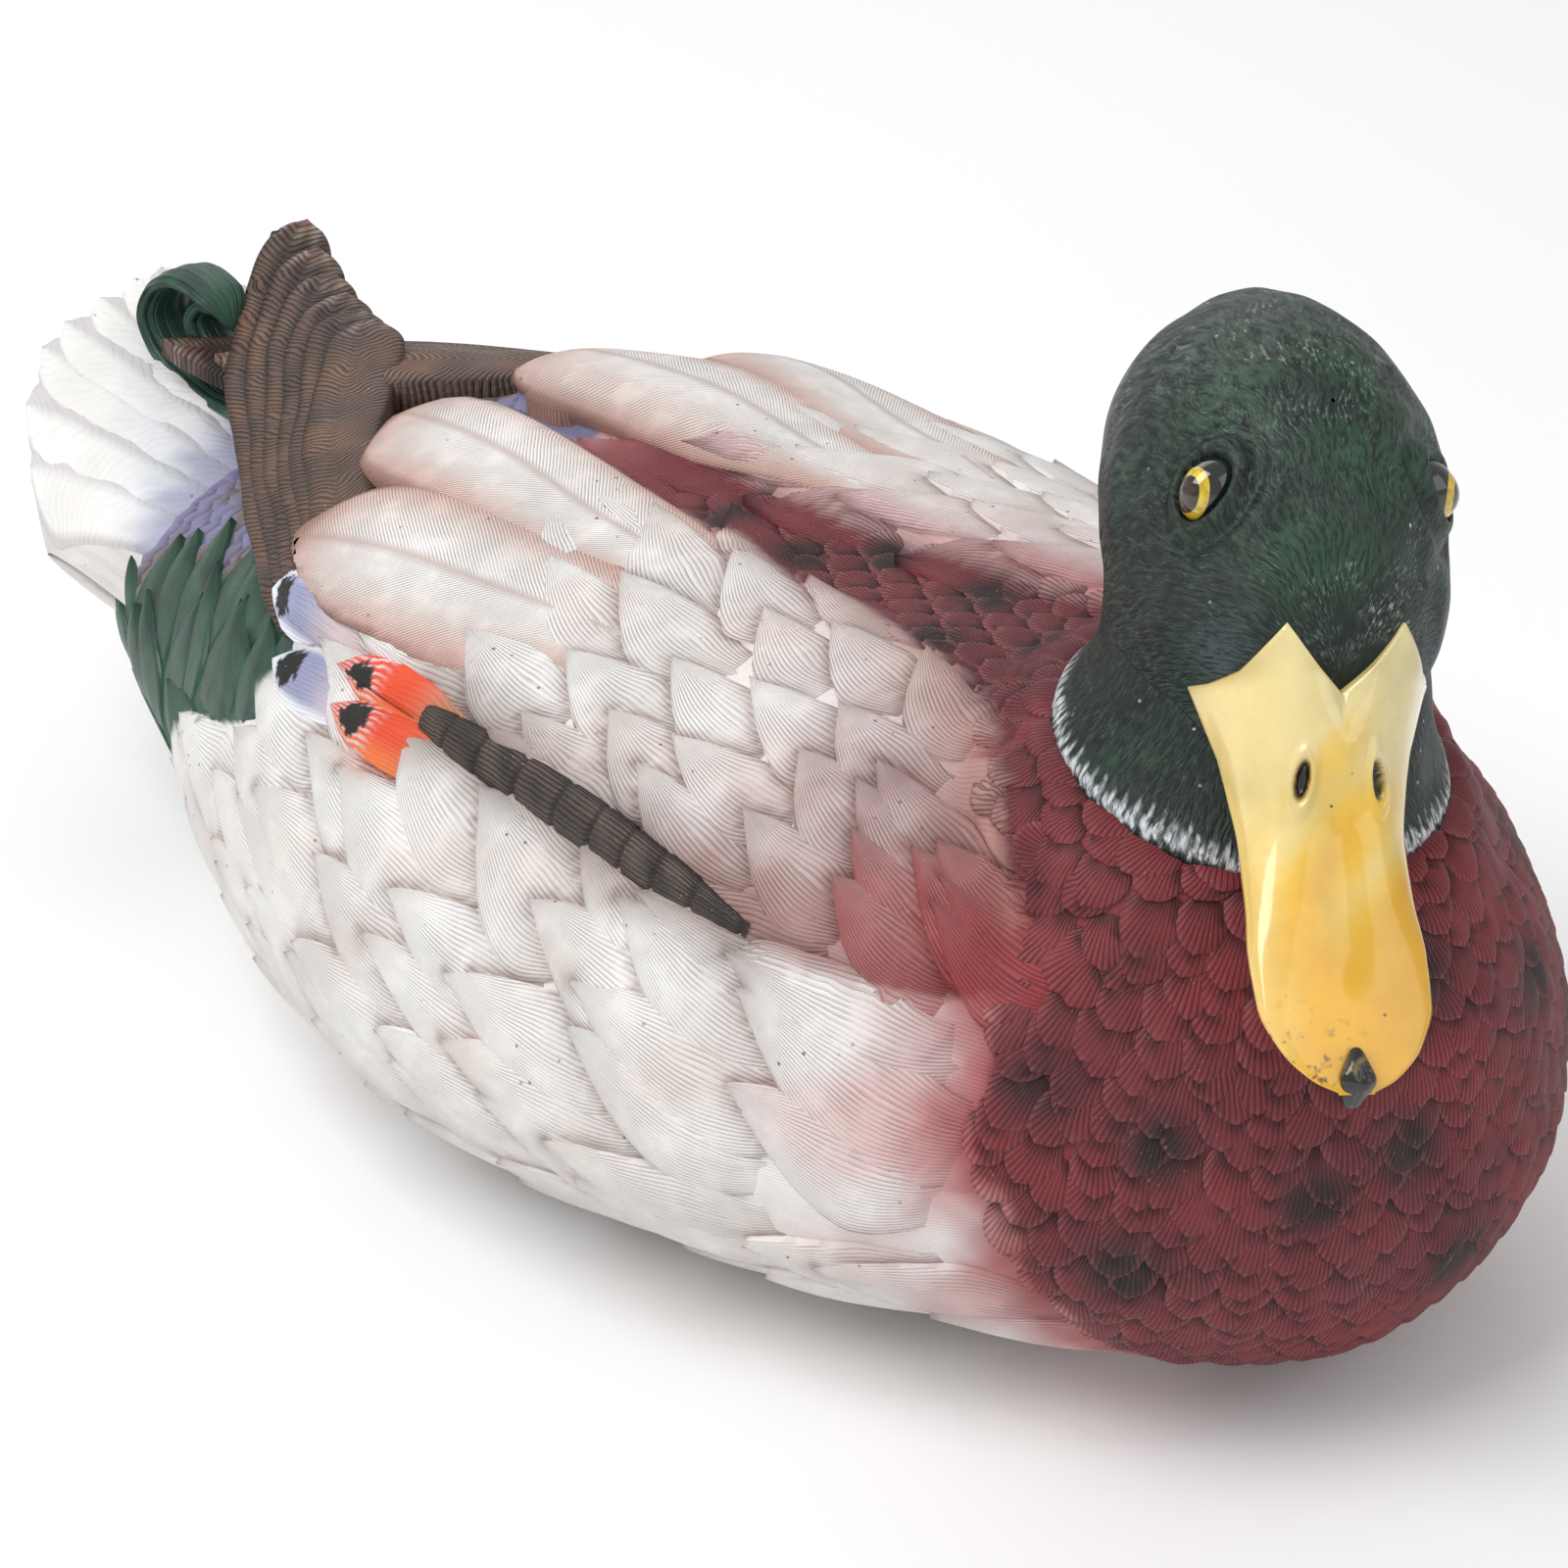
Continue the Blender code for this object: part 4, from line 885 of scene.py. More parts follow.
def speculum(skin, look):
    """Small feathers behind the ridge, two orange over two lavender, each with a bristly black bar."""
    for side, name in ((-1, "right_speculum"), (1, "left_speculum")):
        seeds = np.array([(10.0, 49.5), (19.0, 42.0), (-18.0, 50.0), (-14.0, 44.5)])
        places = body_points(seeds[:, 0], side * seeds[:, 1])
        headings = np.array([(0, 1, 0.0), (0.10 * -side, 1, 0.0), (0, 1, -0.02), (0.06 * -side, 1, 0.02)])
        length, width, rise = (30.0, 36.0, 35.0, 35.0), (13.0, 13.5, 11.5, 11.5), (4.0, 5.2, 5.0, 5.6)
        grids = lay_feathers(skin, places, headings, length, width, rise, point=0.1, skirt=4.4, rows=60,
                             columns=35, lift=0.4)
        along, across = grids.along, grids.across
        bristle = np.sin(along * 60 + 3 * np.sin(across * 4)) * 0.5 + np.sin(along * 131 + across * 9) * 0.5
        size = np.array([0.115, 0.115, 0.105, 0.105])[:, None, None]
        reach = np.hypot((along - 0.80) / size, across / 0.70) + 0.25 * bristle
        bar = ease(1.05, 0.92, reach)
        cool = mix(LAVENDER, srgb(214, 196, 200), ease(0.62, 0.2, along))
        border = np.maximum(ease(0.6, 0.95, np.abs(across)), ease(0.8, 0.95, along))
        cool = mix(cool, srgb(232, 236, 242), border)
        strokes = ease(0.1, 0.5, np.sin(across * 26 + 2.2 * np.sin(along * 21)))
        hot = mix(srgb(226, 78, 44), srgb(232, 120, 66), ease(0.0, 0.9, across * -side))
        hot = mix(hot, srgb(190, 132, 104), ease(0.50, 0.15, along))
        hot = mix(hot, srgb(222, 200, 206), strokes * ease(0.58, 0.72, along))
        colour = mix(np.concatenate([cool[:2], hot[2:]]), BLACK, bar)
        # Painted shade where the feather passes under its neighbour.
        colour = mix(colour, colour * VALLEY_SHADE, 0.8 * overlap_shade(grids))
        feather_piece(name, look, grids, colour, 0.35)


def ridge(skin, look, side, name):
    """The dark jointed edge of the folded wing: a flattened bar cut into blocks."""
    blocks = 9
    along = np.linspace(0, 1, 241)
    y = -3 - 84 * along
    angle = side * through([44.6, 44.8, 46.5, 49.5, 53.0], along * 4)
    spine, up, _, _ = skin.nearest(body_points(y, angle))
    forward = unit(np.gradient(spine, axis=0))
    sideways = np.cross(up, forward)
    taper = through([3.0, 4.4, 4.7, 4.2, 1.4], along * 4)
    joint = np.abs(np.sin(along * blocks * math.pi + 0.7 * np.sin(9 * along)))
    taper = taper * (1 - 0.07 * (1 - ease(0.0, 0.35, joint)))
    around = circle(40)
    notch = 0.45 * (1 - ease(0.0, 0.25, joint))[:, None] + 0.16 * np.sin(around * 14)
    across, high = np.cos(around), np.sin(around)
    points = (
        spine[:, None] + up[:, None] * 1.5
        + sideways[:, None] * (taper[:, None] * across)[..., None]
        + up[:, None] * ((0.62 * taper[:, None] - notch) * high)[..., None]
    )
    crack = ease(0.30, 0.0, joint)[:, None]
    tone = np.clip(0.5 + 0.6 * waves(points, 9, 61), 0, 1)
    colour = mix(srgb(58, 52, 50), srgb(92, 78, 70), tone)
    colour = mix(colour, srgb(40, 34, 33), 0.85 * np.maximum(crack, ease(0.8, 1.0, np.abs(across))))
    values = {"paint": colour, "comb": around * 4.5, "groove": 1.0 - crack}
    grid_piece(name, points, look, "shell", values, True)


# ------------------------------------------------------------------------------- primaries, tail and curls

# Each stack's leading edge, from root to tip, and the way its feathers lie across from it.
RIGHT_LEAD = [(-70, 26, 79), (-67, 47, 88.5), (-51, 76, 92), (-31, 107, 93), (-11, 135, 96.5), (7, 149, 105),
              (18, 156, 112)]
RIGHT_ACROSS = [(0.80, -0.50, 0.36), (0.80, -0.50, 0.36), (0.78, -0.54, 0.30), (0.70, -0.64, 0.12),
                (0.62, -0.72, 0.02), (0.58, -0.76, -0.10), (0.56, -0.78, -0.18)]
LEFT_LEAD = [(70, 26, 79), (67, 47, 88.5), (51, 76, 94), (32, 105, 94.5), (14, 130, 93), (1, 146, 92.5),
             (-12, 157, 95)]
LEFT_ACROSS = [(-0.80, -0.50, 0.36), (-0.80, -0.50, 0.36), (-0.78, -0.52, 0.22), (-0.74, -0.62, 0.12),
               (-0.70, -0.70, 0.06), (-0.62, -0.78, -0.05), (-0.50, -0.84, -0.15)]


def line_at(points, s):
    """A smooth line through points, by place along their list."""
    return np.stack([through([p[i] for p in points], s) for i in range(3)], axis=-1)


def even_places(points, along):
    """Places on a line of points for shares of its real length."""
    s = np.linspace(0, len(points) - 1, 400)
    length = np.linalg.norm(np.diff(line_at(points, s), axis=0), axis=-1)
    return np.interp(along, np.concatenate([[0], np.cumsum(length)]) / length.sum(), s)


def primary_stack(name, lead, sideways, count, look, replaces, width, offset, step_back, point=0.0):
    """Long folded feathers, each one shorter than the one below it and set in from its edge."""
    u = np.concatenate([np.linspace(0, 1, 110), [1.0]])[:, None]
    v = np.concatenate([[0.0], np.linspace(0, 1, 19), [1.0]])[None, :]
    grids, colours, combs, grooves = [], [], [], []
    for i in range(count):
        along = u * (1 - step_back * i) * np.ones_like(v)
        near_tip = np.clip((u - 0.91) / 0.09, 0, 1)
        tip = np.sqrt(1 - near_tip**2.2) * (1 - point) + (1 - near_tip) * point
        wide = width * (0.72 + 0.28 * ease(0.0, 0.6, along))
        middle = 0.5 - 0.22 * point * near_tip
        across = middle + (v - 0.5) * np.maximum(tip, 0.02)
        place = even_places(lead, along)
        turn = unit(line_at(sideways, place))
        fan = 0.55 + 0.45 * ease(0.4, 0.85, along)
        shift = offset * i * fan + wide * across
        shift = shift + 0.4 * waves(xyz(along * 190, 0, 50 * i), 26, 35)
        points = line_at(lead, place) + turn * shift[..., None]
        up = unit(np.cross(np.gradient(points, axis=0), turn))
        up = up * np.sign(up[..., 2:])
        crown = 1.1 * (1 - np.abs(2 * v - 1) ** 4.0)
        drop = 2.8 * tucked(along.shape)
        drop[:, -1] += 3.0 * (i == count - 1)
        points = points + up * (0.5 + 1.7 * i * fan + crown - drop)[..., None]
        from_quill = np.abs(across - 0.42)
        comb = (190 * along - 0.9 * from_quill * width) / 1.9 + 0.5 * waves(points, 7, 36 + i)
        quill = bump(from_quill, 0, 0.035)
        tone = np.clip(0.5 + 0.55 * waves(points, 20, 31 + i), 0, 1)
        colour = mix(srgb(96, 79, 70), srgb(128, 94, 75), 0.8 * tone)
        colour = mix(colour, DARK_BROWN, 0.35 * (1 - tone))
        shade = 0.85 * np.exp(-v / 0.08) + 0.65 * np.exp(-(1 - v) / 0.10)
        colour = mix(colour, DARK_BROWN, np.clip(shade, 0, 1))
        # Painted shadow: darker on the part of this feather under the next one, fading just past that
        # feather's tip and edge.
        end = (1 - step_back * (i + 1)) / (1 - step_back * i)
        shadow_of_next = ease(offset / width - 0.17, offset / width + 0.02, across)
        shadow_of_next = shadow_of_next * ease(end + 0.035, end + 0.004, u)
        colour = mix(colour, srgb(36, 28, 25), 0.85 * shadow_of_next * (i < count - 1))
        pale = ease(0.93, 1.0, u) * np.clip(0.3 + waves(points, 4, 3), 0, 1)
        colour = mix(colour, srgb(176, 166, 156), 0.55 * pale)
        colour = mix(colour, DARK_BROWN, 0.5 * quill)
        grids.append(points)
        colours.append(colour)
        combs.append(comb + 3.3 * i)
        grooves.append(1 - 0.6 * quill)
    values = {"paint": np.array(colours), "comb": np.array(combs), "groove": np.array(grooves)}
    grid_piece(name, np.array(grids), look, "shell", values, replaces=replaces)


def stack_bed(name, lead, sideways, look, width):
    """The solid part that a stack of primaries rests on."""
    s = np.linspace(0, len(lead) - 1.3, 70)
    around = circle(32)
    turn = unit(line_at(sideways, s))
    up = unit(np.cross(np.gradient(line_at(lead, s), axis=0), turn))
    up = up * np.sign(up[:, 2:])
    half = through([0.40, 0.44, 0.48, 0.46, 0.34, 0.20, 0.04], s) * width
    middle = line_at(lead, s) + turn * (half + 0.8)[:, None] - up * 0.6
    points = middle[:, None] + turn[:, None] * (half[:, None] * np.cos(around))[..., None]
    points = points + up[:, None] * (1.9 * np.sin(around))[None, :, None]
    values = {"paint": DARK_BROWN, "comb": (s * 22)[:, None], "groove": 0.8}
    grid_piece(name, points, look, "shell", values, True)


FAN_HALF_WIDTH = 50.0


def fan_point(share, out):
    """A point of the tail fan: share from -1 to 1 across it, out from 0 at its root to 1 at its tip."""
    reach = np.abs(share)
    root = xyz(FAN_HALF_WIDTH * share, 134 - 12 * reach**2, 76.5 - 17.5 * reach**2.6)
    tip = xyz(FAN_HALF_WIDTH * share, TAIL_Y - 36 * reach**3.2, 89 - 27 * reach**2.2)
    return root + (tip - root) * np.asarray(out)[..., None]


def tail_feathers(look):
    """Broad rounded tail feathers, laid from both sides towards the middle, over a solid bed."""
    u = np.concatenate([np.linspace(0, 1, 44), [1.0]])[:, None]
    v = np.concatenate([[-1.0], np.linspace(-1, 1, 15), [1.0]])[None, :]
    grids, colours, combs = [], [], []
    places = sorted(np.linspace(-0.86, 0.86, 11), key=lambda place: -abs(place))
    for i, place in enumerate(places):
        round_tip = np.sqrt(np.clip(1 - np.clip((u - 0.80) / 0.20, 0, 1) ** 2.2, 0, 1))
        half = 0.165 * np.maximum(round_tip, 0.03) * (0.8 + 0.2 * u)
        sway = 0.02 * math.sin(5.1 * i)
        share = np.clip(place * (0.74 + 0.26 * u) + v * half + sway * u, -1.03, 1.03)
        out = (-0.35 + (1.34 + 0.03 * math.sin(3.7 * i)) * u) * np.ones_like(v)
        points = fan_point(share, out)
        dents = 0.22 * waves(points, 14, 90 + i) + 0.08 * waves(points, 5, 110 + i)
        lift = 0.9 + 3.4 * (1 - abs(place)) + (1 - v**4) + 0.5 * out + dents
        points = points + xyz(0, 0, lift - 2.0 * tucked(share.shape))
        colour = mix(WHITE, TAIL_BLUE, np.clip(0.6 - out + 0.4 * waves(points, 30, 9), 0, 1))
        root = ease(0.20, -0.10, out + 0.05 * waves(points, 7, 10))
        colour = mix(colour, srgb(150, 150, 178), 0.8 * root)
        # Painted shade: greyer along each feather's edges, and painted shadow on the half that lies under
        # the next feather towards the middle.
        side = np.abs(v)
        colour = mix(colour, srgb(158, 150, 146), 0.4 * ease(0.88, 1.0, side))
        shadowed_half = v * (1 if place < 0 else -1)
        colour = mix(colour, srgb(160, 156, 158), 0.45 * ease(-0.10, 0.12, shadowed_half) * (abs(place) > 0.02))
        grids.append(points)
        colours.append(colour)
        combs.append((50 * out - 9 * side) / 3.0 + i + 0.8 * waves(points, 16, 14 + i))
    values = {"paint": np.array(colours), "comb": np.array(combs), "groove": 0.25}
    grid_piece("tail_feathers", grids, look, "shell", values, replaces=("tail_fan",))
    share = np.linspace(-1, 1, 90)[:, None]
    ring = circle(40)[None, :]
    out = 0.35 + 0.62 * np.cos(ring)
    bed = fan_point(*np.broadcast_arrays(share, out)) + xyz(0, 0, 1.7 * np.sin(ring) - 1.3)
    values = {"paint": srgb(214, 210, 208), "comb": share * 18, "groove": 0.5}
    grid_piece("tail_bed", bed, look, "shell", values, True)


# The middle line of each curl as (y, z), from its root.
BIG_CURL = [(132, 83), (142, 83), (153, 84.5), (161.5, 88.5), (165.5, 95), (162, 102), (153.5, 105.5),
            (145, 103.5), (141.5, 98)]
SMALL_CURL = [(136, 86), (146, 87), (154.5, 89.5), (157.5, 94.5), (153.5, 99.0), (147, 98.5)]


def curl_feather(name, path, x, width, thickness, look, replaces):
    """A thick green feather curled forwards, with combed ridges along it and a painted highlight along its
    edges.
    """
    s = np.linspace(0, len(path) - 1, 120)
    centre = xyz(x, through([p[0] for p in path], s), through([p[1] for p in path], s))
    run = unit(np.gradient(centre, axis=0))
    outward = xyz(0, run[:, 2], -run[:, 1])
    share = s / s[-1]
    half = width / 2 * (1 - 0.35 * share**2) * np.sqrt(ease(1.02, 0.84, share))
    around = circle(60)
    thick = (thickness / 2 * (1 - 0.3 * share) * np.sqrt(ease(1.02, 0.84, share)))[:, None]
    lobes = 1 + 0.05 * np.sin(around * 11)
    points = centre[:, None] + np.array([1.0, 0, 0]) * (half[:, None] * np.cos(around) * lobes)[..., None]
    points = points + outward[:, None] * (thick * np.sin(around) * lobes)[..., None]
    edge = bump(np.sin(around), 0, 0.35)
    tone = np.clip(0.5 + 0.6 * waves(points, 9, 71), 0, 1)
    colour = mix(srgb(26, 54, 44), srgb(48, 86, 68), tone)
    # Painted highlight: paler green along the curl's edges.
    colour = mix(colour, srgb(104, 136, 118), 0.35 * edge * np.clip(waves(points, 5, 72) + 0.4, 0, 1))
    colour = mix(colour, srgb(40, 64, 56), 0.5 * (np.sin(around) < -0.2))
    values = {"paint": colour, "comb": around * 3.2, "groove": 0.8}
    grid_piece(name, points, look, "shell", values, True, replaces)


# -------------------------------------------------------------------------------------------- head and bill

SEAT = Matrix.Translation(NECK_CENTRE) @ Euler((NECK_TILT, 0, 0)).to_matrix().to_4x4()
SEAT = SEAT @ Matrix.Rotation(HEAD_TURN, 4, "Z")
HEAD_MIDDLE = np.array([0.0, 8.0, 24.0])
BILL_PITCH = math.radians(38.0)
BILL_S = [-5, 4, 13, 22, 31, 40, 48, 55, 60, 62]
BILL_HALF_WIDTH = [18, 16.6, 15, 13.9, 14.1, 15, 14.7, 11.8, 7, 3]
BILL_EDGE_H = [26, 26.3, 26.7, 27.4, 29, 31.2, 33, 34.3, 35, 35.3]
BILL_TOP_H = [45.5, 42.2, 39.3, 37.3, 36.3, 35.8, 35.7, 35.8, 36, 36.1]
EYE_CENTRE = np.array([15.9, 4.2, 48.6])
EYE_RADIUS = 6.2
EYE_BULGE = 2.2
EYE_WIDE = 0.76
EYE_TALL = 1.0


def from_seat(points):
    """Points given in the neck seat's frame, as the head is turned, in the model's frame."""
    turn = np.array(SEAT.to_3x3())
    return points @ turn.T + np.array(SEAT.translation)


def ellipsoid(points, centre, radii, pitch=0.0):
    """Roughly the distance outside an ellipsoid pitched up at its front."""
    turn = math.radians(pitch)
    x, y, z = np.moveaxis(points - np.array(centre), -1, 0)
    forward = y * math.cos(turn) + z * math.sin(turn)
    up = z * math.cos(turn) - y * math.sin(turn)
    size = np.sqrt((x / radii[0]) ** 2 + (forward / radii[1]) ** 2 + (up / radii[2]) ** 2)
    return (size - 1) * min(radii)


def blend_min(a, b, width):
    """The smaller of two distances, with the crease between them filled."""
    share = np.clip(0.5 + 0.5 * (b - a) / width, 0, 1)
    return b * (1 - share) + a * share - width * share * (1 - share)


def head_field(points):
    """Below zero inside the head and neck."""
    x, y, z = np.moveaxis(points, -1, 0)
    knots = [0, 6, 14, 26, 40]
    neck_radius = through([NECK_RADIUS - 0.4, 30.8, 28, 26, 20], z, knots)
    neck_middle = through([0, 1, 3.5, 8, 12], z, knots)
    field = np.maximum(np.hypot(x, y - neck_middle) - neck_radius, z - 40)
    field = blend_min(field, ellipsoid(points, (0, 19.0, 37), (27.6, 38.8, 30.8), 6), 7)
    for side in (-1, 1):
        field = blend_min(field, ellipsoid(points, (side * 9.5, -1, 31), (15, 18, 14.5)), 4)
    return blend_min(field, ellipsoid(points, (0, -9, 34), (15.5, 15, 14), 20), 6)


def head_along(ray):
    """Distance from the head's middle to its surface along each ray."""
    near_end, far_end = np.full(ray.shape[:-1], 5.0), np.full(ray.shape[:-1], 80.0)
    for _ in range(36):
        half = (near_end + far_end) / 2
        inside = head_field(HEAD_MIDDLE + ray * half[..., None]) < 0
        near_end = np.where(inside, half, near_end)
        far_end = np.where(inside, far_end, half)
    return far_end


def on_head(points, lift=0.0):
    """The points moved straight out from the head's middle onto its surface."""
    ray = unit(points - HEAD_MIDDLE)
    return HEAD_MIDDLE + ray * (head_along(ray) + lift)[..., None]


def bill_point(x, s, h):
    """A point of the bill: x across, s forwards along it, h above it."""
    cos, sin = math.cos(BILL_PITCH), math.sin(BILL_PITCH)
    return xyz(x, -cos * s - sin * h, -sin * s + cos * h)


def head_piece(look):
    """Head and neck in one skin, from crown to seat, with sockets for the eyes and a ragged collar."""
    share, azimuth = np.meshgrid(np.linspace(0.004, 1, 300), circle(360), indexing="ij")
    rim = xyz(NECK_RADIUS * np.cos(azimuth), NECK_RADIUS * np.sin(azimuth), 0) - HEAD_MIDDLE
    rim_far = np.linalg.norm(rim, axis=-1)
    rim = unit(rim)
    opening = np.arccos(np.clip(rim[..., 2], -1, 1))
    ray = xyz(0, 0, np.sin((1 - share) * opening)) + np.sin(share * opening)[..., None] * rim
    ray = unit(ray / np.sin(opening)[..., None])
    reach = head_along(ray)
    reach = np.where(share > 0.995, rim_far, reach)
    points = HEAD_MIDDLE + ray * reach[..., None]

    # Carving: an eyelid ring round each eye, a hollow behind it, and the collar's swell.
    lift = 0.25 * waves(points, 9, 41) + 0.5 * waves(points, 26, 42)
    for side in (-1, 1):
        offset = points - eye_middle(side)
        tip, wide, tall = eye_axes(side)
        away = (offset @ tip) ** 2 + (offset @ wide / EYE_WIDE) ** 2 + (offset @ tall / EYE_TALL) ** 2
        away = np.sqrt(away)
        lift = lift - 1.3 * bump(away, 10.8, 1.7) + 0.9 * bump(away, 7.6, 1.1)
        lift = lift - 4.0 * ease(6.9, 5.9, away)
    z = points[..., 2]
    lift = lift * ease(0, 3, z) + 1.5 * bump(z, 2.6, 2.4) * ease(-0.2, 1.0, z)
    points = points + ray * lift[..., None]
    points[..., 2] = np.maximum(points[..., 2], 0.3)

    root = np.array([0.0, -24.0, 34.0])
    axis = unit(np.array([0.0, 34.0, -34.0]))
    offset = points - root
    up = np.array([0.0, -axis[2], axis[1]])
    turn = np.arctan2(offset[..., 0], offset @ up)
    along = np.linalg.norm(offset, axis=-1)
    across = turn * 26.0
    neck = ease(26, 14, z) * ease(-12, 0, along - 30)
    around = np.arctan2(points[..., 0], points[..., 1]) * 27.0
    across = np.where(neck > 0.5, around, across)
    along = np.where(neck > 0.5, z, along)

    green, deep, grey = srgb(38, 66, 50), srgb(26, 36, 34), srgb(52, 60, 56)
    crown = ease(30, 62, z) * np.clip(0.75 + 0.5 * waves(points, 34, 44), 0, 1)
    colour = mix(deep, green, np.clip(crown + 0.35 * waves(points, 18, 45), 0, 1))
    colour = mix(colour, grey, 0.55 * ease(10, 34, points[..., 1]))
    # light: the lighter colour laid on the crests of the hair strokes as painted highlight.
    light = mix(srgb(58, 86, 68), srgb(84, 94, 88), ease(5, 30, points[..., 1]))
    face = near(points, (0, -22, 40), 16) + 0.9 * near(points, (10, -16, 46), 14)
    wear = np.clip(0.10 + 0.9 * face + 0.5 * ease(60, 72, z) + 0.3 * ease(20, 45, points[..., 1]), 0, 1)
    base = near(points, (-16, -15, 32), 9) + near(points, (16, -15, 32), 9)
    colour = mix(colour, srgb(78, 96, 108), np.clip(0.45 * base, 0, 0.5))
    ragged = 1.5 * np.sin(around * 3.1) + 1.2 * np.sin(around * 7.3 + 1) + 0.9 * waves(points, 2.2, 46)
    band = ease(1.4, 1.9, z + 0.25 * ragged) * (1 - ease(3.0, 4.2, z + 0.5 * ragged))
    streak = ease(-0.75, -0.2, np.sin(around * 5.3 + 2 * waves(points, 6, 47)))
    band = band * (0.45 + 0.55 * streak)
    colour = mix(colour, srgb(212, 216, 220), band)
    light = mix(light, srgb(226, 230, 232), band)
    lower = ease(1.3, 0.7, z)
    colour = mix(colour, srgb(24, 52, 46), lower)
    values = {"paint": colour, "light": light, "wear": wear * (1 - lower), "along": along, "across": across}
    grid_piece("head", from_seat(points), look, "head", values, True, ("head_shell",))


def bill_piece(look):
    """The upper bill: two pointed horns run up the forehead, nostrils, a dished middle and a broad tip."""
    around = np.linspace(0, math.pi, 121)
    fold = np.minimum(around, math.pi - around)
    knots = np.radians([0, 20, 38, 57, 73, 90])
    side = np.where(around < math.pi / 2, 1.0, -1.0)
    x = side * np.interp(fold, knots, [18.4, 17.6, 14.4, 8.6, 4.6, 0])
    s = np.interp(fold, knots, [-6.4, -5.2, -6.2, -12.6, -4.6, 2.0])
    h = np.interp(fold, knots, [26, 30.5, 36, 41.5, 44.4, 45.4])
    base = bill_point(x, s, h)
    rows = [on_head(base, -1.0), on_head(base, 0.35), on_head(base, 0.8)]
    stations = np.concatenate([np.linspace(7, 54, 90), np.linspace(54.5, 62.3, 26)])
    lists = (BILL_HALF_WIDTH, BILL_EDGE_H, BILL_TOP_H)
    sections = []
    for place in stations:
        half, low, high = (float(through(v, place, BILL_S)) for v in lists)
        power = 1.0 - 0.45 * ease(10, 45, place)
        rise = np.sin(around)
        dish = 1.4 * ease(8, 26, place) * (1 - ease(38, 50, place)) * bump(np.cos(around), 0, 0.3)
        culmen = 1.2 * (1 - ease(8, 24, place)) * bump(np.cos(around), 0, 0.22)
        rim = 0.7 * bump(fold, 0.16, 0.10)
        top = low + (high - low) * rise**power - dish + culmen - rim * (1 - ease(50, 58, place))
        sections.append(bill_point(half * np.cos(around), place, top))
    for share in np.linspace(0, 1, 12)[1:-1]:
        eased = share**1.15
        rows.append(rows[2] * (1 - eased) + sections[0] * eased)
    points = np.array(rows + sections)
    s_all = -points[..., 1] * math.cos(BILL_PITCH) - points[..., 2] * math.sin(BILL_PITCH)
    out = np.cross(np.gradient(points, axis=1), np.gradient(points, axis=0))
    out = unit(out) * np.sign(out @ np.array([0, -0.3, 1.0]))[..., None]
    slot_depth, dark = 0, 0
    for edge in (-1, 1):
        across = points[..., 0] - edge * (6.4 + 0.12 * (s_all - 12.6))
        oval = np.hypot(across / 1.25, (s_all - 12.6) / 3.4)
        slot_depth = slot_depth - 1.6 * ease(1.0, 0.55, oval) + 0.7 * bump(oval, 1.35, 0.35)
        dark = dark + ease(1.0, 0.75, oval)
    points = points + out * slot_depth[..., None]
    # A turned-under lip closes the edge over the lower bill.
    lip = points[:, [0, -1]] * [0.90, 1, 1] + bill_point(0.0, 0.0, -0.5)
    points = np.concatenate([lip[:, :1], points, lip[:, 1:]], axis=1)
    pad = ((0, 0), (1, 1))
    s_all, dark = np.pad(s_all, pad, "edge"), np.pad(dark, pad, "edge")
    cream, gold, amber = srgb(224, 206, 146), srgb(232, 188, 62), srgb(230, 172, 16)
    tone = np.clip((s_all + 2) / 50 + 0.25 * waves(points, 16, 51), 0, 1)
    colour = mix(mix(cream, gold, ease(0.15, 0.6, tone)), amber, ease(0.5, 0.95, tone))
    # Painted highlight: paler cream over the bill's right half, the side that faces the lamps.
    lit_right_side = ease(-0.3, -1.0, points[..., 0] / 15)
    colour = mix(colour, srgb(236, 210, 140), 0.6 * lit_right_side)
    horn = np.pad(bump(fold, 1.0, 0.25), (1, 1), "edge") * ease(14, -6, s_all)
    colour = mix(colour, srgb(226, 214, 160), 0.5 * horn)
    colour = mix(colour, srgb(150, 118, 40), 0.5 * ease(-2.5, -5, s_all) * (1 - horn))
    colour = mix(colour, srgb(26, 20, 14), np.clip(dark, 0, 1))
    wear = ease(44, 60, s_all) * ease(-2, 12, -points[..., 0] + 6)
    values = {"paint": colour, "wear": 0.9 * wear}
    grid_piece("bill_upper", from_seat(points), look, "head", values, False, ("upper_bill",))


def bill_under(look):
    """The lower bill, drawn in under the upper one."""
    stations = np.linspace(2, 58, 60)
    around = circle(48)
    half = through(BILL_HALF_WIDTH, stations, BILL_S)[:, None] - 1.6
    edge = through(BILL_EDGE_H, stations, BILL_S)[:, None] - 0.7
    rise = np.sin(around)[None, :]
    h = edge + np.where(rise > 0, 0.3 * rise, 2.3 * rise)
    points = bill_point(half * np.cos(around), stations[:, None], h)
    values = {"paint": srgb(206, 150, 50), "wear": 0.2}
    grid_piece("bill_lower", from_seat(points), look, "head", values, True, ("lower_bill",))


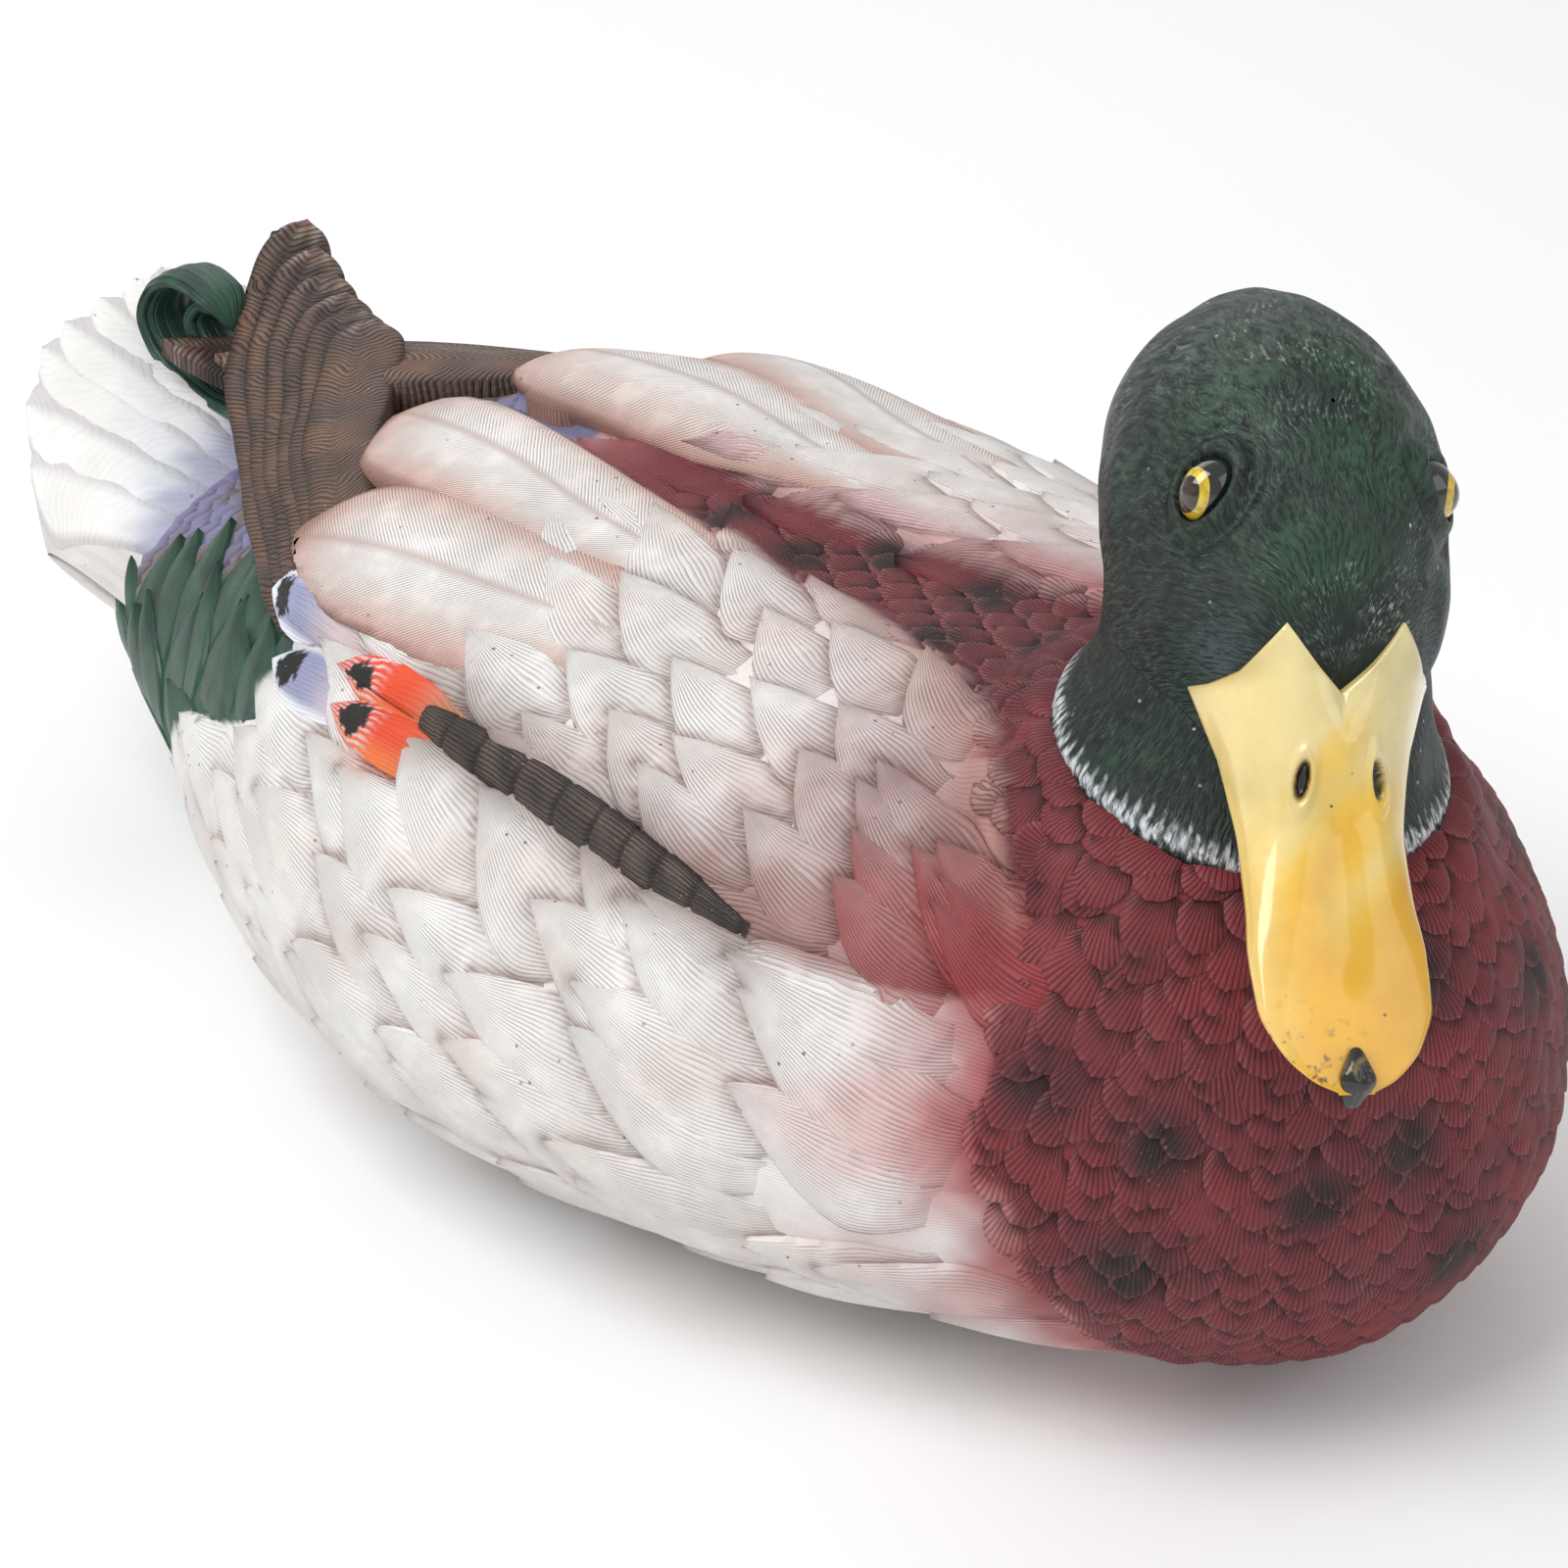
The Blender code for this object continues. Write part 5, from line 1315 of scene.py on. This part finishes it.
def nail_piece(look):
    """The black bean at the bill's tip, split down its middle and hooked over the edge."""
    s = np.linspace(0, 1, 60)[:, None]
    around = circle(40)[None, :]
    fat = np.sqrt(np.clip(1 - (2 * s - 1) ** 2, 0, 1)) * (0.75 + 0.35 * s)
    along = 54.8 + 9.4 * s
    hook = 36.4 - 3.6 * ease(0.55, 1.0, s) ** 1.3
    dimple = 1 - 0.22 * bump(np.cos(around), 0, 0.18) * (np.sin(around) > 0)
    lump = 1 + 0.10 * np.sin(9 * s + 3 * np.cos(around))
    high = hook + 2.0 * fat * dimple * lump * np.sin(around)
    points = from_seat(bill_point(2.9 * fat * lump * np.cos(around), along, high))
    grid_piece("nail", points, look, "head", {"paint": (0, 0, 0)}, True, ("bill_nail",))


def eye_axes(side):
    """The way an eye looks, and its long and short axes."""
    tip = unit(np.array([side * 0.94, -0.31, 0.12]))
    across = unit(np.cross(tip, [0, 0, 1.0]))
    return tip, across, np.cross(across, tip)


def eye_middle(side):
    """The middle of an eye, set so that it stands out of the head by EYE_BULGE."""
    return on_head(EYE_CENTRE * [side, 1, 1], EYE_BULGE - EYE_RADIUS)


def eye_piece(name, side, look, replaces):
    """A glass eye, rings read from the angle off its own axis."""
    tip, across, up = eye_axes(side)
    polar, turn = np.meshgrid(np.radians(np.linspace(0.2, 100, 60)), circle(64), indexing="ij")
    level, upright = EYE_WIDE * np.cos(turn)[..., None], EYE_TALL * np.sin(turn)[..., None]
    bulge = EYE_RADIUS * (1 + 0.05 * np.cos(polar) ** 8)
    ray = tip * np.cos(polar)[..., None] + (across * level + up * upright) * np.sin(polar)[..., None]
    points = eye_middle(side) + ray * bulge[..., None]
    values = {"ring": np.degrees(polar)}
    grid_piece(name, from_seat(points), look, "head", values, True, (replaces,))


# ------------------------------------------------------------------------------------------ camera and light


def aim(thing, place, target):
    """Stands a lamp or the camera at a place, pointing at a target, both in millimetres."""
    thing.location = Vector(place) * MM
    thing.rotation_euler = (Vector(target) - Vector(place)).to_track_quat("-Z", "Y").to_euler()
    bpy.context.scene.collection.objects.link(thing)


def soft_light(name, place, target, size, power):
    """A square lamp: its size in metres and its power in watts."""
    lamp = bpy.data.lights.new(name, "AREA")
    lamp.size = size
    lamp.energy = power
    aim(bpy.data.objects.new(name, lamp), place, target)


CAMERA_PLACE = (-520.5, -568.2, 500.0)
CAMERA_TARGET = (-2.1, -19.4, 58.2)
CAMERA_ANGLE = math.radians(19.0)
FLOOR_HALF_SIZE = 6.0
DAYLIGHT = 0.56


def studio():
    """The camera at the photograph's angle, three soft lamps, even daylight and a pale floor."""
    camera = bpy.data.cameras.new("camera")
    camera.angle = CAMERA_ANGLE
    camera.clip_start = 0.01
    holder = bpy.data.objects.new("camera", camera)
    aim(holder, CAMERA_PLACE, CAMERA_TARGET)
    bpy.context.scene.camera = holder
    soft_light("key", (-700, 100, 1100), (0, -40, 60), 0.8, 10)
    soft_light("front", (200, -1200, 700), (0, -60, 60), 0.9, 2.5)
    soft_light("back", (500, 800, 900), (0, 0, 60), 0.9, 3)
    world = bpy.data.worlds.new("studio")
    world.use_nodes = True
    world.node_tree.nodes["Background"].inputs["Color"].default_value = (1, 1, 1, 1)
    world.node_tree.nodes["Background"].inputs["Strength"].default_value = DAYLIGHT
    bpy.context.scene.world = world
    bpy.context.scene.view_settings.view_transform = "Standard"
    far = FLOOR_HALF_SIZE
    mesh = bpy.data.meshes.new("floor")
    mesh.from_pydata([(-far, -far, 0), (far, -far, 0), (far, far, 0), (-far, far, 0)], [], [(0, 1, 2, 3)])
    n = Nodes("floor")
    pale = n.blend((0.93, 0.93, 0.93), (0.95, 0.95, 0.95), n.noise(3.0))
    mesh.materials.append(n.finish(pale, 0.9, n.noise(400.0), 0.0))
    floor = bpy.data.objects.new("floor", mesh)
    bpy.context.scene.collection.objects.link(floor)


# ------------------------------------------------------------------------------------------------- making


def repaint(finishes):
    """Gives the solid pieces that stay visible their finishes."""
    for node, look in finishes.items():
        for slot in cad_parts[node].material_slots:
            slot.material = look


# The rows of the carved skin where one piece of it ends and the next begins.
FLANK_ROW = 150
RUMP_ROW = 330


def main():
    """The studio, the paints, and every piece from the body out."""
    studio()
    feathers = plumage("feather_paint", comb_depth=0.0003, shade=0.26)
    rosy = (0.55, 0.36, 0.36)
    maroon = plumage("scale_paint", comb_depth=0.0004, dust=0.55, shade=0.55, dust_colour=rosy)
    brown = plumage("primary_paint", comb_depth=0.0009, dust=0.6, shade=0.9, roughness=0.5)
    smooth_white = plumage("tail_paint", comb_depth=0.0003, dust=0.2, shade=0.22)
    green = plumage("curl_paint", comb_depth=0.0002, dust=0.25, shade=0.3, roughness=0.4)
    hair, bill = hair_paint("head_paint"), bill_paint("bill_paint")

    points, y, angle = carved_body()
    skin = Skin(points, y, angle)
    colour = paint_body(points, y, angle)
    comb = angle * 1.6
    parts = (
        ("breast_skin", 0, FLANK_ROW, maroon, ()),
        ("flank_skin", FLANK_ROW - 1, RUMP_ROW, feathers, ("body_shell",)),
        ("rump_skin", RUMP_ROW - 1, len(points), feathers, ()),
    )
    for name, low, high, look, nodes in parts:
        rows = slice(low, high)
        values = {"paint": colour[rows], "comb": comb[rows], "groove": 0.25}
        grid_piece(name, points[rows], look, "shell", values, replaces=nodes)

    flank_feathers(skin, feathers)
    for side, name in ((-1, "right"), (1, "left")):
        wing_feathers(skin, feathers, side, f"{name}_wing_feathers", (f"{name}_wing",))
        tertials(skin, feathers, side, f"{name}_tertials")
        ridge(skin, brown, side, f"{name}_wing_ridge")
    speculum(skin, feathers)
    breast_scales(skin, maroon)
    mantle_scales(skin, maroon)
    rump_feathers(skin, feathers)
    tufts(skin, green)
    primary_stack("right_primary_feathers", RIGHT_LEAD, RIGHT_ACROSS, 6, brown, ("right_primaries",),
                  width=16, offset=4.7, step_back=0.048)
    primary_stack("left_primary_feathers", LEFT_LEAD, LEFT_ACROSS, 5, brown, ("left_primaries",),
                  width=19, offset=6.5, step_back=0.07, point=0.8)
    stack_bed("right_primary_bed", RIGHT_LEAD, RIGHT_ACROSS, brown, 36)
    stack_bed("left_primary_bed", LEFT_LEAD, LEFT_ACROSS, brown, 24)
    tail_feathers(smooth_white)
    curl_feather("curl_outer", BIG_CURL, -4.0, 15.0, 5.0, green, ("curl_feather_right",))
    curl_feather("curl_inner", SMALL_CURL, 1.0, 13.0, 7.5, green, ("curl_feather_left",))

    head_piece(hair)
    bill_piece(bill)
    bill_under(bill)
    nail_piece(nail_paint("nail_paint"))
    gloss = eye_gloss("eye_gloss")
    eye_piece("eye_right", -1, gloss, "right_eye")
    eye_piece("eye_left", 1, gloss, "left_eye")

    steel = plain_finish("plated_steel", (0.55, 0.55, 0.52), (0.42, 0.41, 0.38), 0.36, 900.0, 0.00003, 1.0)
    rubber = plain_finish("seal_rubber", (0.02, 0.02, 0.02), (0.035, 0.034, 0.033), 0.7, 1200.0, 0.00005)
    hardware = [f"hull_screw_{i}" for i in range(1, 7)] + ["ballast_screw_1", "ballast_screw_2"]
    hardware += ["neck_stud", "spring_washer", "lock_nut", "tether_pin", "tether_tab"]
    finishes = {node: steel for node in hardware}
    finishes.update({node: rubber for node in ("hull_gasket", "drain_plug", "drain_o_ring")})
    foam = plain_finish("foam", (0.78, 0.77, 0.72), (0.70, 0.69, 0.63), 0.85, 700.0, 0.0003)
    finishes.update({node: foam for node in ("foam_float_front", "foam_float_rear")})
    iron, rust = (0.10, 0.10, 0.105), (0.17, 0.12, 0.09)
    finishes["ballast_weight"] = plain_finish("cast_iron", iron, rust, 0.7, 500.0, 0.0003, 0.7)
    ivory, dull = (0.68, 0.67, 0.60), (0.62, 0.60, 0.52)
    finishes["neck_bush"] = plain_finish("nylon", ivory, dull, 0.45, 600.0, 0.00004)
    painted, worn = (0.60, 0.56, 0.53), (0.50, 0.44, 0.41)
    finishes["hull_bottom"] = plain_finish("hull_paint", painted, worn, 0.62, 500.0, 0.00018)
    repaint(finishes)


main()
